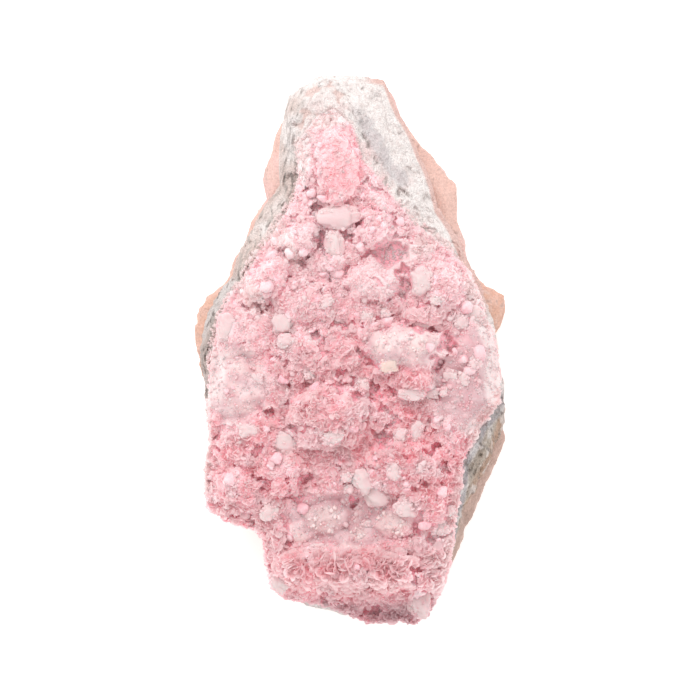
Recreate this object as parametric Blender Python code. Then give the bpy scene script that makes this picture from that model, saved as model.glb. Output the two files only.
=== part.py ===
"""Rhodochrosite specimen: a hand-sized plate of vein rock, lying on its back.

Three layers grew one on another, and each is its own solid:
  wall_rock          salmon host rock, broken flat underneath, which the specimen rests on
  quartz_vein        white and grey vein quartz, which shows as a sloping rim round the crust
  rhodochrosite_crust  pink crystal crust with mounds, pits, milky knobs and bladed crystals
Lengths are in millimetres until a mesh is written. +Z is up and +Y runs to the narrow tip.
"""

import math

import bpy
import numpy as np
from mathutils import Matrix, Vector, noise
from mathutils.geometry import delaunay_2d_cdt

MM = 0.001
SEAM = 0.5  # clearance that keeps two layers from touching

# Heights on the centre line, above the ground.
WALL_ROCK_TOP = 9.0
VEIN_TOP = 15.0
CRUST_TOP = 20.5
WIDEST_AT = 4.2  # where the wall rock is at its full outline

# How the layers arch: millimetres dropped per square millimetre from the centre line.
WALL_ROCK_ARCH = 0.0007
VEIN_ARCH_ALONG, VEIN_ARCH_ACROSS = 0.0017, 0.0020
VEIN_TILT = 0.02  # the vein's top also falls towards the lower end
CRUST_ARCH_ALONG, CRUST_ARCH_ACROSS = 0.0012, 0.0040
FOOT_DROP, FOOT_START, FOOT_LENGTH = 5.0, -41.0, 8.0  # the broken lower end falls away
BASE_SHARE = 0.86  # the flat back, as a share of the wall rock's outline
CHIP, CHIP_SIZE = 1.1, 7.0  # how deep and how wide the broken sides are chipped

FACET = 1.95  # distance between neighbouring points of the crust's upper face
RIM_POINTS = 136  # round the crust
COARSE = 2  # the two layers below use every second point of the crust's rim

# Outlines seen from above, (x, y), clockwise from the tip.
CRUST_OUTLINE = [
    (-3.0, 44.0), (0.5, 40.5), (2.0, 34.5), (7.5, 28.0), (11.5, 22.5), (19.5, 16.5), (24.5, 6.5),
    (27.0, -2.0), (27.3, -9.5), (23.5, -14.0), (20.5, -20.0), (19.0, -30.5), (17.0, -42.5),
    (14.2, -48.3), (11.5, -50.5), (9.5, -49.5), (3.0, -50.0), (-3.5, -46.6), (-12.0, -45.2),
    (-14.2, -43.2), (-15.6, -35.0), (-17.5, -32.6), (-23.5, -30.5), (-25.9, -28.5), (-25.3, -16.0),
    (-25.5, -5.5), (-24.0, 4.0), (-18.5, 14.5), (-10.0, 27.5), (-9.2, 30.5), (-9.7, 37.5),
    (-6.0, 42.5),
]
VEIN_OUTLINE = [
    (-5.5, 50.4), (3.5, 50.0), (6.2, 49.5), (8.5, 44.0), (12.5, 36.0), (16.0, 26.0), (21.0, 17.0),
    (25.0, 8.5), (27.0, -1.5), (27.9, -14.0), (24.5, -22.0), (20.5, -29.5), (18.0, -39.5),
    (15.0, -45.0), (9.5, -48.4), (-1.0, -48.6), (-9.0, -46.3), (-13.3, -43.0), (-14.5, -37.0),
    (-22.0, -30.2), (-25.0, -25.5), (-25.4, -14.5), (-26.6, -6.0), (-27.4, 0.0), (-26.5, 5.0),
    (-21.5, 13.5), (-17.6, 22.5), (-12.9, 30.0), (-12.9, 38.0), (-11.2, 46.6),
]
WALL_ROCK_OUTLINE = [
    (-2.5, 49.3), (5.0, 50.1), (7.7, 48.0), (10.0, 42.0), (13.2, 38.2), (17.0, 34.0), (19.8, 30.7),
    (20.0, 24.0), (22.0, 15.3), (25.2, 12.0), (28.8, 9.8), (28.6, 6.0), (27.3, 3.0), (26.8, -5.5),
    (27.2, -11.0), (28.8, -16.4), (25.8, -24.0), (21.5, -33.0), (18.5, -41.0), (15.8, -46.0),
    (6.5, -48.2), (-6.5, -46.3), (-12.3, -42.4), (-15.0, -35.0), (-23.4, -26.8), (-24.7, -14.6),
    (-26.8, -6.0), (-28.8, 2.0), (-28.2, 7.0), (-23.2, 13.1), (-20.5, 18.6), (-15.6, 28.3),
    (-16.2, 31.6), (-14.3, 38.0), (-11.6, 45.2),
]

# Rounded mounds of the crust: (x, y, half width, half length, turn in degrees, height).
MOUNDS = [
    (-2.5, 33.0, 3.8, 8.0, 0, 3.2), (-9.0, 20.0, 3.7, 3.1, 20, 2.6), (-15.5, 13.5, 4.7, 5.1, 15, 3.4),
    (4.5, 22.0, 3.6, 3.7, 0, 3.2), (6.0, 26.5, 2.9, 1.8, -15, 1.6), (4.5, 12.5, 5.5, 3.7, 0, 3.2),
    (-3.5, 16.0, 2.6, 2.2, 0, 2.0), (17.0, 11.5, 4.8, 4.4, -30, 2.6), (13.5, 6.5, 3.7, 2.0, 0, 2.2),
    (10.0, 0.2, 7.6, 4.8, 0, 5.4), (11.5, -5.5, 4.1, 2.9, 0, 4.2), (-9.0, 9.0, 5.5, 4.4, 0, 2.0),
    (-19.0, 3.0, 5.4, 4.7, 0, 1.8), (-9.0, -1.0, 5.8, 5.1, 0, 1.8), (-20.5, -7.5, 5.1, 5.4, 0, 1.9),
    (-3.5, -12.0, 8.2, 5.8, 15, 4.6), (-1.0, -1.0, 3.6, 2.9, 0, 1.6), (-18.0, -16.0, 6.2, 5.4, 0, 2.0),
    (-12.5, -22.5, 4.6, 4.4, 0, 2.6), (-20.5, -25.0, 4.6, 4.0, 0, 2.0), (10.0, -21.5, 7.3, 5.1, 0, 2.4),
    (13.5, -28.0, 4.4, 4.0, 0, 2.2), (-4.5, -30.5, 3.6, 2.9, 0, 3.4), (8.0, -31.0, 4.0, 2.6, 0, 3.4),
    (-9.0, -33.0, 2.9, 2.2, 0, 2.4), (-1.5, -39.0, 11.3, 3.6, -3, 3.8), (7.5, -40.5, 6.2, 3.6, 0, 3.6),
    (-9.0, -40.0, 5.4, 3.6, 0, 3.0), (13.5, -45.0, 2.9, 4.0, 0, 1.8), (22.5, 0.2, 3.3, 5.4, 0, 1.4),
    (20.5, -8.0, 4.0, 4.4, 0, 1.6), (20.0, -13.5, 2.9, 3.3, -40, 1.8),
]
# Hollows of the crust: (x, y, half width, half length, turn in degrees, depth).
HOLLOWS = [
    (-1.0, -31.0, 11.0, 5.0, 0, 3.4), (-6.0, 26.0, 1.2, 1.5, -35, 4.0), (-5.2, 20.0, 1.1, 1.6, 0, 3.5),
    (-0.5, 20.5, 1.3, 1.4, 0, 3.5), (1.6, 23.0, 0.8, 1.4, 0, 3.0), (-8.8, 16.0, 1.6, 1.2, 0, 3.0),
    (3.8, 17.5, 2.2, 0.9, 0, 2.6), (10.0, 12.5, 1.3, 3.3, 0, 2.8), (7.5, 17.5, 3.4, 2.6, 0, 1.6),
    (-6.2, 3.0, 1.0, 0.9, 0, 2.0), (13.5, 4.0, 3.0, 0.8, 0, 2.4), (17.5, 1.0, 1.7, 2.0, 0, 3.2),
    (15.8, -2.5, 1.4, 1.4, 0, 2.8), (-2.2, -6.7, 2.1, 1.0, -30, 2.6), (1.2, -8.4, 1.8, 1.1, -30, 2.6),
    (3.4, -11.0, 0.9, 3.0, 0, 2.6), (4.4, -6.4, 1.1, 2.4, 0, 2.8), (5.7, -15.3, 2.5, 1.3, 25, 3.6),
    (-14.8, -11.6, 1.7, 0.8, 0, 2.0), (-15.0, -24.5, 1.2, 1.2, 0, 2.4), (0.2, -19.5, 1.2, 1.0, 0, 2.0),
    (14.7, -18.2, 1.6, 1.2, 0, 2.0), (12.0, -32.5, 1.1, 1.2, 0, 2.4), (15.0, -35.0, 1.6, 1.4, 0, 2.6),
    (0.6, -27.2, 1.2, 1.8, 0, 1.8), (12.0, -39.8, 1.1, 1.0, 0, 2.2), (3.8, -47.6, 2.2, 1.2, 0, 1.6),
    (-16.6, 7.6, 3.2, 0.9, -10, 2.2), (-8.2, -23.5, 2.0, 1.5, 0, 1.4),
]
# Milky knobs on the crust: (x, y, half width, half length, turn in degrees).
KNOBS = [
    (-2.0, 24.0, 3.4, 2.0, 5), (-2.8, 19.2, 1.5, 2.3, 0), (-12.2, 5.2, 1.9, 2.4, -20),
    (-11.5, 1.7, 1.3, 1.3, 0), (-11.9, -16.7, 2.4, 2.3, 30), (2.4, -23.2, 2.0, 2.4, 35),
    (4.7, -26.3, 2.0, 2.6, 35), (13.0, 12.4, 1.9, 2.4, 10), (7.0, -2.8, 1.5, 1.2, 0),
    (11.4, -7.8, 2.2, 1.3, 0), (14.6, -7.6, 1.4, 1.2, 0), (12.0, -14.6, 1.4, 1.9, -30),
    (9.2, -15.4, 1.3, 1.2, 0), (12.8, 4.8, 1.4, 1.3, 0), (16.4, -32.4, 1.5, 1.5, 0),
    (-14.6, -29.6, 1.5, 1.5, 0), (-22.4, 3.8, 1.8, 2.5, 10), (12.9, -45.6, 2.2, 2.9, 0),
    (7.8, -22.0, 1.3, 1.3, 0), (-12.6, -42.2, 1.5, 1.7, 0), (2.4, -6.0, 1.1, 1.2, 0),
    (22.8, 6.6, 1.5, 1.4, 0), (10.4, -28.6, 1.6, 1.5, 0),
]

BLADE_COUNT = 70
BLADE_LENGTH, BLADE_WIDTH, BLADE_THICKNESS = 1.7, 1.2, 0.42  # half sizes of a bladed crystal
BLADE_SEED, FACET_SEED = 11, 5


# --- outlines and rim ---------------------------------------------------------------------


def polar(outline):
    """Bearings, in rising order, and distances of an outline's points from the centre line."""
    x, y = np.array(outline).T
    order = np.argsort(np.arctan2(y, x))
    return np.arctan2(y, x)[order], np.hypot(x, y)[order]


def reach(outline, bearings):
    """Distance from the centre line to an outline, along each bearing in radians."""
    angles, radii = polar(outline)
    return np.interp(bearings, angles, radii, period=2 * math.pi)


def rim_bearings(step=1):
    """Bearings of points spaced evenly round the crust's rim, or of every second one for step 2."""
    bearings = np.linspace(-math.pi, math.pi, 721)
    radii = reach(CRUST_OUTLINE, bearings)
    x, y = radii * np.cos(bearings), radii * np.sin(bearings)
    along = np.concatenate([[0.0], np.cumsum(np.hypot(np.diff(x), np.diff(y)))])
    wanted = np.arange(0, RIM_POINTS, step) / RIM_POINTS * along[-1]
    return np.interp(wanted, along, bearings)


def smooth(value):
    """0 below 0, 1 above 1, and an even curve between."""
    t = np.clip(value, 0.0, 1.0)
    return t * t * (3.0 - 2.0 * t)


def rough(x, y, z, size, seed):
    """Fractal noise from about -1 to 1, with lumps of the given size."""
    flat = np.stack([np.ravel(x), np.ravel(y), np.ravel(np.broadcast_to(z, np.shape(x)))], axis=1) / size
    values = [noise.fractal(Vector(p) + Vector((seed, 0, 0)), 1.0, 2.0, 3) for p in flat]
    return np.array(values).reshape(np.shape(x))


# --- heights of the layers -------------------------------------------------------------


def wall_rock_top(x, y):
    return WALL_ROCK_TOP - WALL_ROCK_ARCH * y**2 + 0.02 * x


def vein_top(x, y):
    return VEIN_TOP + VEIN_TILT * y - VEIN_ARCH_ALONG * y**2 - VEIN_ARCH_ACROSS * x**2


def inside(x, y, feature):
    """Squared distance from a feature's centre, 1 on its edge."""
    cx, cy, half_width, half_length, turn = feature[:5]
    c, s = math.cos(math.radians(turn)), math.sin(math.radians(turn))
    u = ((x - cx) * c + (y - cy) * s) / half_width
    v = ((y - cy) * c - (x - cx) * s) / half_length
    return u * u + v * v


def crust_top(x, y, rho):
    """The crust's upper face: an arched plateau with domed mounds and rounded hollows.

    rho runs from 0 on the centre line to 1 at the rim, where the crust rolls off."""
    plateau = CRUST_TOP - CRUST_ARCH_ALONG * y**2 - CRUST_ARCH_ACROSS * x**2
    plateau = plateau - FOOT_DROP * smooth((FOOT_START - y) / FOOT_LENGTH)
    domes = np.zeros_like(x)
    for mound in MOUNDS:
        dome = mound[5] * np.sqrt(np.clip(1.0 - inside(x, y, mound), 0.0, 1.0))
        domes = np.maximum(domes, dome)
    hollows = np.zeros_like(x)
    for hollow in HOLLOWS:
        hollows = np.maximum(hollows, hollow[5] * np.exp(-1.2 * inside(x, y, hollow) ** 1.5))
    rim = smooth((rho - 0.86) / 0.14)
    relief = (domes - hollows) * (1.0 - 0.75 * rim) + 0.45 * rough(x, y, 0.0, 1.7, 3.0)
    return plateau + relief - 1.3 * rim


# --- building a closed layer from rings ---------------------------------------------------


class Shell:
    """Points and faces of one closed layer, added ring by ring."""

    def __init__(self):
        self.points = []
        self.faces = []

    def add(self, x, y, z):
        first = len(self.points)
        self.points += list(zip(np.ravel(x), np.ravel(y), np.ravel(np.broadcast_to(z, np.shape(x)))))
        return list(range(first, len(self.points)))

    def bridge(self, lower, upper):
        """Quads between two rings of equal length; lower is nearer the ground or the outside."""
        count = len(lower)
        for i in range(count):
            j = (i + 1) % count
            self.faces.append((lower[i], lower[j], upper[j], upper[i]))

    def cap(self, ring, centre, upwards):
        for i, first in enumerate(ring):
            second = ring[(i + 1) % len(ring)]
            self.faces.append((first, second, centre) if upwards else (second, first, centre))

    def build(self, name, colour, roughness):
        mesh = bpy.data.meshes.new(name)
        mesh.from_pydata([Vector(p) * MM for p in self.points], [], self.faces)
        mesh.validate()
        mesh.materials.append(finish(name, colour, roughness))
        part = bpy.data.objects.new(name, mesh)
        bpy.context.scene.collection.objects.link(part)
        return part


def finish(name, colour, roughness):
    material = bpy.data.materials.new(name)
    material.use_nodes = True
    shader = material.node_tree.nodes["Principled BSDF"]
    shader.inputs["Base Color"].default_value = (*colour, 1.0)
    shader.inputs["Roughness"].default_value = roughness
    shader.inputs["Metallic"].default_value = 0.0
    return material


def stack_rings(shell, bearings, rings, centre_below, centre_above):
    """A closed layer from rings of (radius, height), listed from the underside outwards and up."""
    made = []
    for radius, height in rings:
        x, y = radius * np.cos(bearings), radius * np.sin(bearings)
        made.append(shell.add(x, y, height))
    bottom = shell.add(np.zeros(1), np.zeros(1), centre_below)[0]
    top = shell.add(np.zeros(1), np.zeros(1), centre_above)[0]
    shell.cap(made[0], bottom, upwards=False)
    for lower, upper in zip(made, made[1:]):
        shell.bridge(lower, upper)
    shell.cap(made[-1], top, upwards=True)


# --- the three layers ----------------------------------------------------------------


def wall_rock():
    """Salmon host rock: a flat broken back, rough sides, and an upper face under the vein."""
    bearings = rim_bearings(COARSE)
    c, s = np.cos(bearings), np.sin(bearings)
    edge = reach(WALL_ROCK_OUTLINE, bearings)
    chip = CHIP * rough(edge * c, edge * s, 0.0, CHIP_SIZE, 20.0)
    chip_above = CHIP * rough(edge * c, edge * s, 9.0, CHIP_SIZE, 20.0)
    shoulder = np.minimum(edge - 0.4, np.maximum(reach(VEIN_OUTLINE, bearings) - 1.0, edge - 3.6))
    seat = BASE_SHARE * edge + chip

    def top(radius):
        return wall_rock_top(radius * c, radius * s)

    exposed = smooth((edge - shoulder - 0.5) / 2.0)  # 1 where the salmon rock shows from above
    rings = [
        (0.5 * seat, np.zeros_like(seat)),
        (seat, np.zeros_like(seat)),
        (0.5 * (seat + edge) + 0.6, 0.4 * WIDEST_AT + 0.6 * chip_above),
        (edge, WIDEST_AT + chip),
        (edge - 0.2, top(edge) - 0.4 - 1.6 * exposed + 0.4 * exposed * chip_above),
        (shoulder, top(shoulder) - 0.2 * exposed),
        (0.5 * edge, top(0.5 * edge)),
    ]
    shell = Shell()
    stack_rings(shell, bearings, rings, 0.0, WALL_ROCK_TOP)
    return shell.build("wall_rock", (0.62, 0.36, 0.27), 0.85)


def quartz_vein():
    """Vein quartz: a slab whose rim rises round the crust and slopes away to the outline."""
    bearings = rim_bearings(COARSE)
    c, s = np.cos(bearings), np.sin(bearings)
    edge = reach(VEIN_OUTLINE, bearings)
    fine = reach(CRUST_OUTLINE, rim_bearings())
    crust_edge = np.maximum.reduce([fine, np.roll(fine, 1), np.roll(fine, -1)])[::COARSE]
    middle = 0.5 * fine[::COARSE]
    width = edge - crust_edge  # of the sloping rim; below about 1 mm there is none
    rise = smooth((width - 1.0) / 1.6)
    recess = np.minimum(crust_edge + SEAM, edge - 0.8)

    def under(radius):
        return wall_rock_top(radius * c, radius * s) + SEAM

    def floor(radius):
        return vein_top(radius * c, radius * s)

    lip_radius = recess + 0.25
    rim_height = crust_top(crust_edge * c, crust_edge * s, np.ones_like(edge)) - 0.2
    lip = floor(recess) + rise * (rim_height - floor(recess))
    outer = under(edge) + 0.62 * (floor(edge) - under(edge))
    bumps = 0.5 * rough(edge * c, edge * s, 0.0, 4.0, 40.0)

    def slope(share, swell):
        radius = lip_radius + share * (edge - lip_radius)
        height = lip + share * (outer - lip) + rise * (swell + bumps)
        return radius, np.where(rise > 0.0, height, floor(recess) + share * (outer - floor(recess)))

    rings = [
        (0.5 * edge, under(0.5 * edge)),
        (edge - 1.1, under(edge - 1.1)),
        (edge - 0.1, under(edge) + 0.9),
        (edge, outer),
        slope(0.7, 1.0),
        slope(0.35, 0.9),
        (lip_radius, lip),
        (recess, floor(recess)),
        (middle, floor(middle)),
    ]
    shell = Shell()
    stack_rings(shell, bearings, rings, WALL_ROCK_TOP + SEAM, VEIN_TOP)
    return shell.build("quartz_vein", (0.80, 0.75, 0.72), 0.6)


def way_out(x, y):
    """0 on the centre line and 1 at the crust's rim."""
    return np.hypot(x, y) / reach(CRUST_OUTLINE, np.arctan2(y, x))


def crust_points(rim_x, rim_y):
    """Points in staggered rows that fill the crust's outline, kept a little off its rim."""
    rows, columns = np.mgrid[-30:31, -20:21]
    draw = np.random.default_rng(FACET_SEED)
    x = (columns + 0.5 * (rows % 2)) * FACET + draw.uniform(-0.25, 0.25, rows.shape)
    y = rows * FACET * math.sqrt(0.75) + draw.uniform(-0.25, 0.25, rows.shape)
    x, y = x[way_out(x, y) < 1.0], y[way_out(x, y) < 1.0]
    from_rim = np.hypot(x[:, None] - rim_x, y[:, None] - rim_y).min(axis=1)
    return x[from_rim > 0.8 * FACET], y[from_rim > 0.8 * FACET]


def crust_body():
    """The crust without its knobs and blades: upper face, broken rim and underside."""
    bearings = rim_bearings()
    c, s = np.cos(bearings), np.sin(bearings)
    edge = reach(CRUST_OUTLINE, bearings)
    inner_x, inner_y = crust_points(edge * c, edge * s)
    x, y = np.append(edge * c, inner_x), np.append(edge * s, inner_y)
    shell = Shell()
    shell.add(x, y, crust_top(x, y, way_out(x, y)))
    rim = list(range(RIM_POINTS))
    flat = [Vector(point) for point in zip(x, y)]
    shell.faces += delaunay_2d_cdt(flat, [], [rim], 1, 1e-4)[2]

    def underside(radius):
        return vein_top(radius * c, radius * s) + SEAM

    toe = shell.add((edge - 0.05) * c, (edge - 0.05) * s, underside(edge))
    shell.bridge(toe, rim)
    under = shell.add(0.5 * edge * c, 0.5 * edge * s, underside(0.5 * edge))
    shell.bridge(under, toe)
    centre = shell.add(np.zeros(1), np.zeros(1), VEIN_TOP + SEAM)[0]
    shell.cap(under, centre, upwards=False)
    return shell.build("rhodochrosite_crust", (0.78, 0.40, 0.42), 0.45)


# --- growths fused to the crust --------------------------------------------------------


def crust_height(x, y):
    """Height of the crust's upper face over one point."""
    x, y = np.array(x), np.array(y)
    return float(crust_top(x, y, way_out(x, y)))


def cutter(name, mesh, collection):
    growth = bpy.data.objects.new(name, mesh)
    growth.hide_render = True
    growth.display_type = "WIRE"
    collection.objects.link(growth)


def knob(number, feature, collection):
    """A lumpy milky knob, half sunk in the crust."""
    x, y, half_width, half_length, turn = feature
    half_height = 0.8 * min(half_width, half_length)
    bpy.ops.mesh.primitive_ico_sphere_add(subdivisions=2, radius=1.0)
    ball = bpy.context.object
    mesh = ball.data.copy()
    bpy.data.objects.remove(ball)
    place = (
        Matrix.Translation(Vector((x, y, crust_height(x, y) + 0.25 * half_height)) * MM)
        @ Matrix.Rotation(math.radians(turn), 4, "Z")
        @ Matrix.Diagonal((half_width * MM, half_length * MM, half_height * MM, 1.0))
    )
    for vertex in mesh.vertices:
        vertex.co *= 1.0 + 0.16 * noise.noise(vertex.co * 1.4 + Vector((number * 7.1, 0, 0)))
    mesh.transform(place)
    cutter(f"knob_{number:02d}", mesh, collection)


def blade(number, x, y, lean, swing, size, collection):
    """A bladed crystal: a flattened rhomb of eight flat faces, standing out of the crust."""
    corners = [(1, 0, 0), (0, 1, 0), (-1, 0, 0), (0, -1, 0), (0, 0, 1), (0, 0, -1)]
    rim, front, back = corners[:4], 4, 5
    faces = []
    for i in range(len(rim)):
        j = (i + 1) % len(rim)
        faces += [(i, j, front), (j, i, back)]
    mesh = bpy.data.meshes.new("blade")
    mesh.from_pydata(corners, [], faces)
    place = (
        Matrix.Translation(Vector((x, y, crust_height(x, y) + 0.15 * size)) * MM)
        @ Matrix.Rotation(swing, 4, "Z")
        @ Matrix.Rotation(math.radians(90.0) - lean, 4, "X")
        @ Matrix.Diagonal(
            (size * BLADE_LENGTH * MM, size * BLADE_WIDTH * MM, size * BLADE_THICKNESS * MM, 1.0)
        )
    )
    mesh.transform(place)
    cutter(f"blade_{number:03d}", mesh, collection)


def clear_of_knobs(x, y):
    return all(inside(x, y, feature) > 1.9 for feature in KNOBS)


def grow_blades(collection):
    """Bladed crystals on the mounds, leaning at random, with space between them."""
    draw = np.random.default_rng(BLADE_SEED)
    placed = []
    while len(placed) < BLADE_COUNT:
        mound = MOUNDS[draw.integers(len(MOUNDS))]
        turn, out = draw.uniform(0, 2 * math.pi), math.sqrt(draw.uniform(0.0, 0.8))
        x = mound[0] + mound[2] * out * math.cos(turn)
        y = mound[1] + mound[3] * out * math.sin(turn)
        lean, swing = draw.uniform(-0.6, 0.6), draw.uniform(0, math.pi)
        size = draw.uniform(0.7, 1.0)
        near_rim = way_out(x, y) > 0.92
        crowded = any(math.hypot(x - px, y - py) < 3.0 for px, py in placed)
        if near_rim or crowded or not clear_of_knobs(x, y):
            continue
        blade(len(placed), x, y, lean, swing, size, collection)
        placed.append((x, y))


def rhodochrosite_crust():
    body = crust_body()
    growths = bpy.data.collections.new("growths")
    bpy.context.scene.collection.children.link(growths)
    for number, feature in enumerate(KNOBS):
        knob(number, feature, growths)
    grow_blades(growths)
    fuse = body.modifiers.new("fuse growths", "BOOLEAN")
    fuse.operation = "UNION"
    fuse.operand_type = "COLLECTION"
    fuse.collection = growths
    fuse.solver = "EXACT"
    return body


def main():
    for old in list(bpy.data.objects):
        bpy.data.objects.remove(old)
    wall_rock()
    quartz_vein()
    rhodochrosite_crust()


main()
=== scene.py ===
import math
from itertools import product

import bpy
import numpy as np
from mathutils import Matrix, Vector


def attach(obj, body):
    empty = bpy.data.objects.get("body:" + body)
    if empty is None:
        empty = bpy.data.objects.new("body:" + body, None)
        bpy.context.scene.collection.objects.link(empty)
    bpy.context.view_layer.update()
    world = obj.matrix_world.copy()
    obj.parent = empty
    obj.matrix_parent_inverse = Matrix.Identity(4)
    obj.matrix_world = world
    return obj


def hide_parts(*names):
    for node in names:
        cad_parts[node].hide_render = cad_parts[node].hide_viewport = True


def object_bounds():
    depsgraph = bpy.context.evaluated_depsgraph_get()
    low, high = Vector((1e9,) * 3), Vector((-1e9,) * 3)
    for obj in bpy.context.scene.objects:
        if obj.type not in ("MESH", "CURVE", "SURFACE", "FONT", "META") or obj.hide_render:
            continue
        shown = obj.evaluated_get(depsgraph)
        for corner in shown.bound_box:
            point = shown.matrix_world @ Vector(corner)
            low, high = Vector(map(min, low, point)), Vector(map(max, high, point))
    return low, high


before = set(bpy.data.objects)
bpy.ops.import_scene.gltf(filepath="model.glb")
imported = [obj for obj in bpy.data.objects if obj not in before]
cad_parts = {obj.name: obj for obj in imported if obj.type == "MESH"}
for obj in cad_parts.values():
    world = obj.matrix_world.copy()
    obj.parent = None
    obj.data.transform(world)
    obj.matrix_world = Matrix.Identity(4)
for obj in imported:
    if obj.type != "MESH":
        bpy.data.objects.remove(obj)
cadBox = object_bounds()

# Dresses the three packed layers of the specimen: wall rock, quartz vein and crystal crust.
# Lengths are in millimetres until a mesh is made. +Z is up, +Y runs to the narrow tip.
mm = 0.001

# Heights of the layers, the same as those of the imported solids.
layers = {
    "wallRockTop": 9.0, "wallRockArch": 0.0007, "wallRockTilt": 0.02,
    "veinTop": 15.0, "veinArch": (0.0020, 0.0017), "veinTilt": 0.02,
    "crustTop": 20.5, "crustArch": (0.0040, 0.0012),
    "footDrop": 5.0, "footStart": -41.0, "footLength": 8.0,
    "seatShare": 0.86, "widestAt": 4.2,
}

# Outlines seen from above, (x, y), clockwise from the tip.
outlines = {
    "crust": [
        (-3.0, 44.0), (0.5, 40.5), (2.0, 34.5), (7.5, 28.0), (11.5, 22.5), (19.5, 16.5),
        (24.5, 6.5), (27.0, -2.0), (27.3, -9.5), (23.5, -14.0), (20.5, -20.0), (19.0, -30.5),
        (17.0, -42.5), (14.2, -48.3), (11.5, -50.5), (9.5, -49.5), (3.0, -50.0), (-3.5, -46.6),
        (-12.0, -45.2), (-14.2, -43.2), (-15.6, -35.0), (-17.5, -32.6), (-23.5, -30.5),
        (-25.9, -28.5), (-25.3, -16.0), (-25.5, -5.5), (-24.0, 4.0), (-18.5, 14.0),
        (-14.6, 20.0), (-12.0, 24.2), (-10.0, 27.5), (-9.2, 30.5), (-9.7, 37.5), (-6.0, 42.5),
    ],
    "vein": [
        (-5.5, 50.4), (3.5, 50.0), (6.2, 49.5), (8.5, 44.0), (12.5, 36.0), (16.0, 26.0),
        (21.0, 17.0), (25.0, 8.5), (27.0, -1.5), (27.9, -14.0), (24.5, -22.0), (20.5, -29.5),
        (18.0, -39.5), (15.0, -45.0), (9.5, -48.4), (-1.0, -48.6), (-9.0, -46.3),
        (-13.3, -43.0), (-14.5, -37.0), (-16.6, -32.4), (-22.4, -30.0), (-25.0, -25.5),
        (-25.4, -14.5), (-26.6, -6.0), (-27.4, 0.0), (-26.5, 5.0), (-21.5, 13.5),
        (-17.6, 22.5), (-12.9, 30.0), (-12.9, 38.0), (-11.2, 46.6),
    ],
    "wallRock": [
        (-2.5, 49.3), (5.0, 50.1), (7.7, 48.0), (10.0, 42.0), (13.2, 38.2), (17.0, 34.0),
        (19.8, 30.7), (20.0, 24.0), (22.0, 15.3), (25.2, 12.0), (28.8, 9.8), (28.6, 6.0),
        (27.3, 3.0), (26.8, -5.5), (27.2, -11.0), (28.8, -16.4), (25.8, -24.0), (21.5, -33.0),
        (18.5, -41.0), (15.8, -46.0), (6.5, -48.2), (-6.5, -46.3), (-12.3, -42.4),
        (-15.0, -35.0), (-23.4, -26.8), (-24.7, -14.6), (-26.8, -6.0), (-28.8, 2.0),
        (-28.2, 7.0), (-23.2, 13.1), (-20.5, 18.6), (-15.6, 28.3), (-16.2, 31.6),
        (-14.3, 38.0), (-11.6, 45.2),
    ],
}

# Rounded mounds of the crust: (x, y, half width, half length, turn in degrees, height).
mounds = [
    (-2.5, 33.0, 3.8, 8.0, 0, 3.2), (-9.0, 20.0, 3.7, 3.1, 20, 2.6),
    (-15.5, 13.5, 4.7, 5.1, 15, 3.4), (4.5, 22.0, 3.6, 3.7, 0, 3.2),
    (6.0, 26.5, 2.9, 1.8, -15, 1.6), (4.5, 12.5, 5.5, 3.7, 0, 3.2),
    (-3.5, 16.0, 2.6, 2.2, 0, 2.0), (17.0, 11.5, 4.8, 4.4, -30, 2.6),
    (13.5, 6.5, 3.7, 2.0, 0, 2.2), (10.0, 0.2, 7.6, 4.8, 0, 5.4),
    (11.5, -5.5, 4.1, 2.9, 0, 4.2), (-9.0, 9.0, 5.5, 4.4, 0, 2.0),
    (-19.0, 3.0, 5.4, 4.7, 0, 1.8), (-9.0, -1.0, 5.8, 5.1, 0, 1.8),
    (-20.5, -7.5, 5.1, 5.4, 0, 1.9), (-3.5, -12.0, 8.2, 5.8, 15, 4.6),
    (-1.0, -1.0, 3.6, 2.9, 0, 1.6), (-18.0, -16.0, 6.2, 5.4, 0, 2.0),
    (-12.5, -22.5, 4.6, 4.4, 0, 2.6), (-20.5, -25.0, 4.6, 4.0, 0, 2.0),
    (10.0, -21.5, 7.3, 5.1, 0, 2.4), (13.5, -28.0, 4.4, 4.0, 0, 2.2),
    (-4.5, -30.5, 4.2, 3.3, 0, 1.8), (8.0, -31.0, 4.2, 3.0, 0, 1.6),
    (-9.0, -33.0, 2.9, 2.2, 0, 1.3), (-1.5, -39.0, 11.3, 3.6, -3, 3.8),
    (7.5, -40.5, 6.2, 3.6, 0, 3.6), (-9.0, -40.0, 5.4, 3.6, 0, 3.0),
    (13.5, -45.0, 2.9, 4.0, 0, 1.8), (22.5, 0.2, 3.3, 5.4, 0, 1.4),
    (20.5, -8.0, 4.0, 4.4, 0, 1.6), (20.0, -13.5, 2.9, 3.3, -40, 1.8),
]
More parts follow.
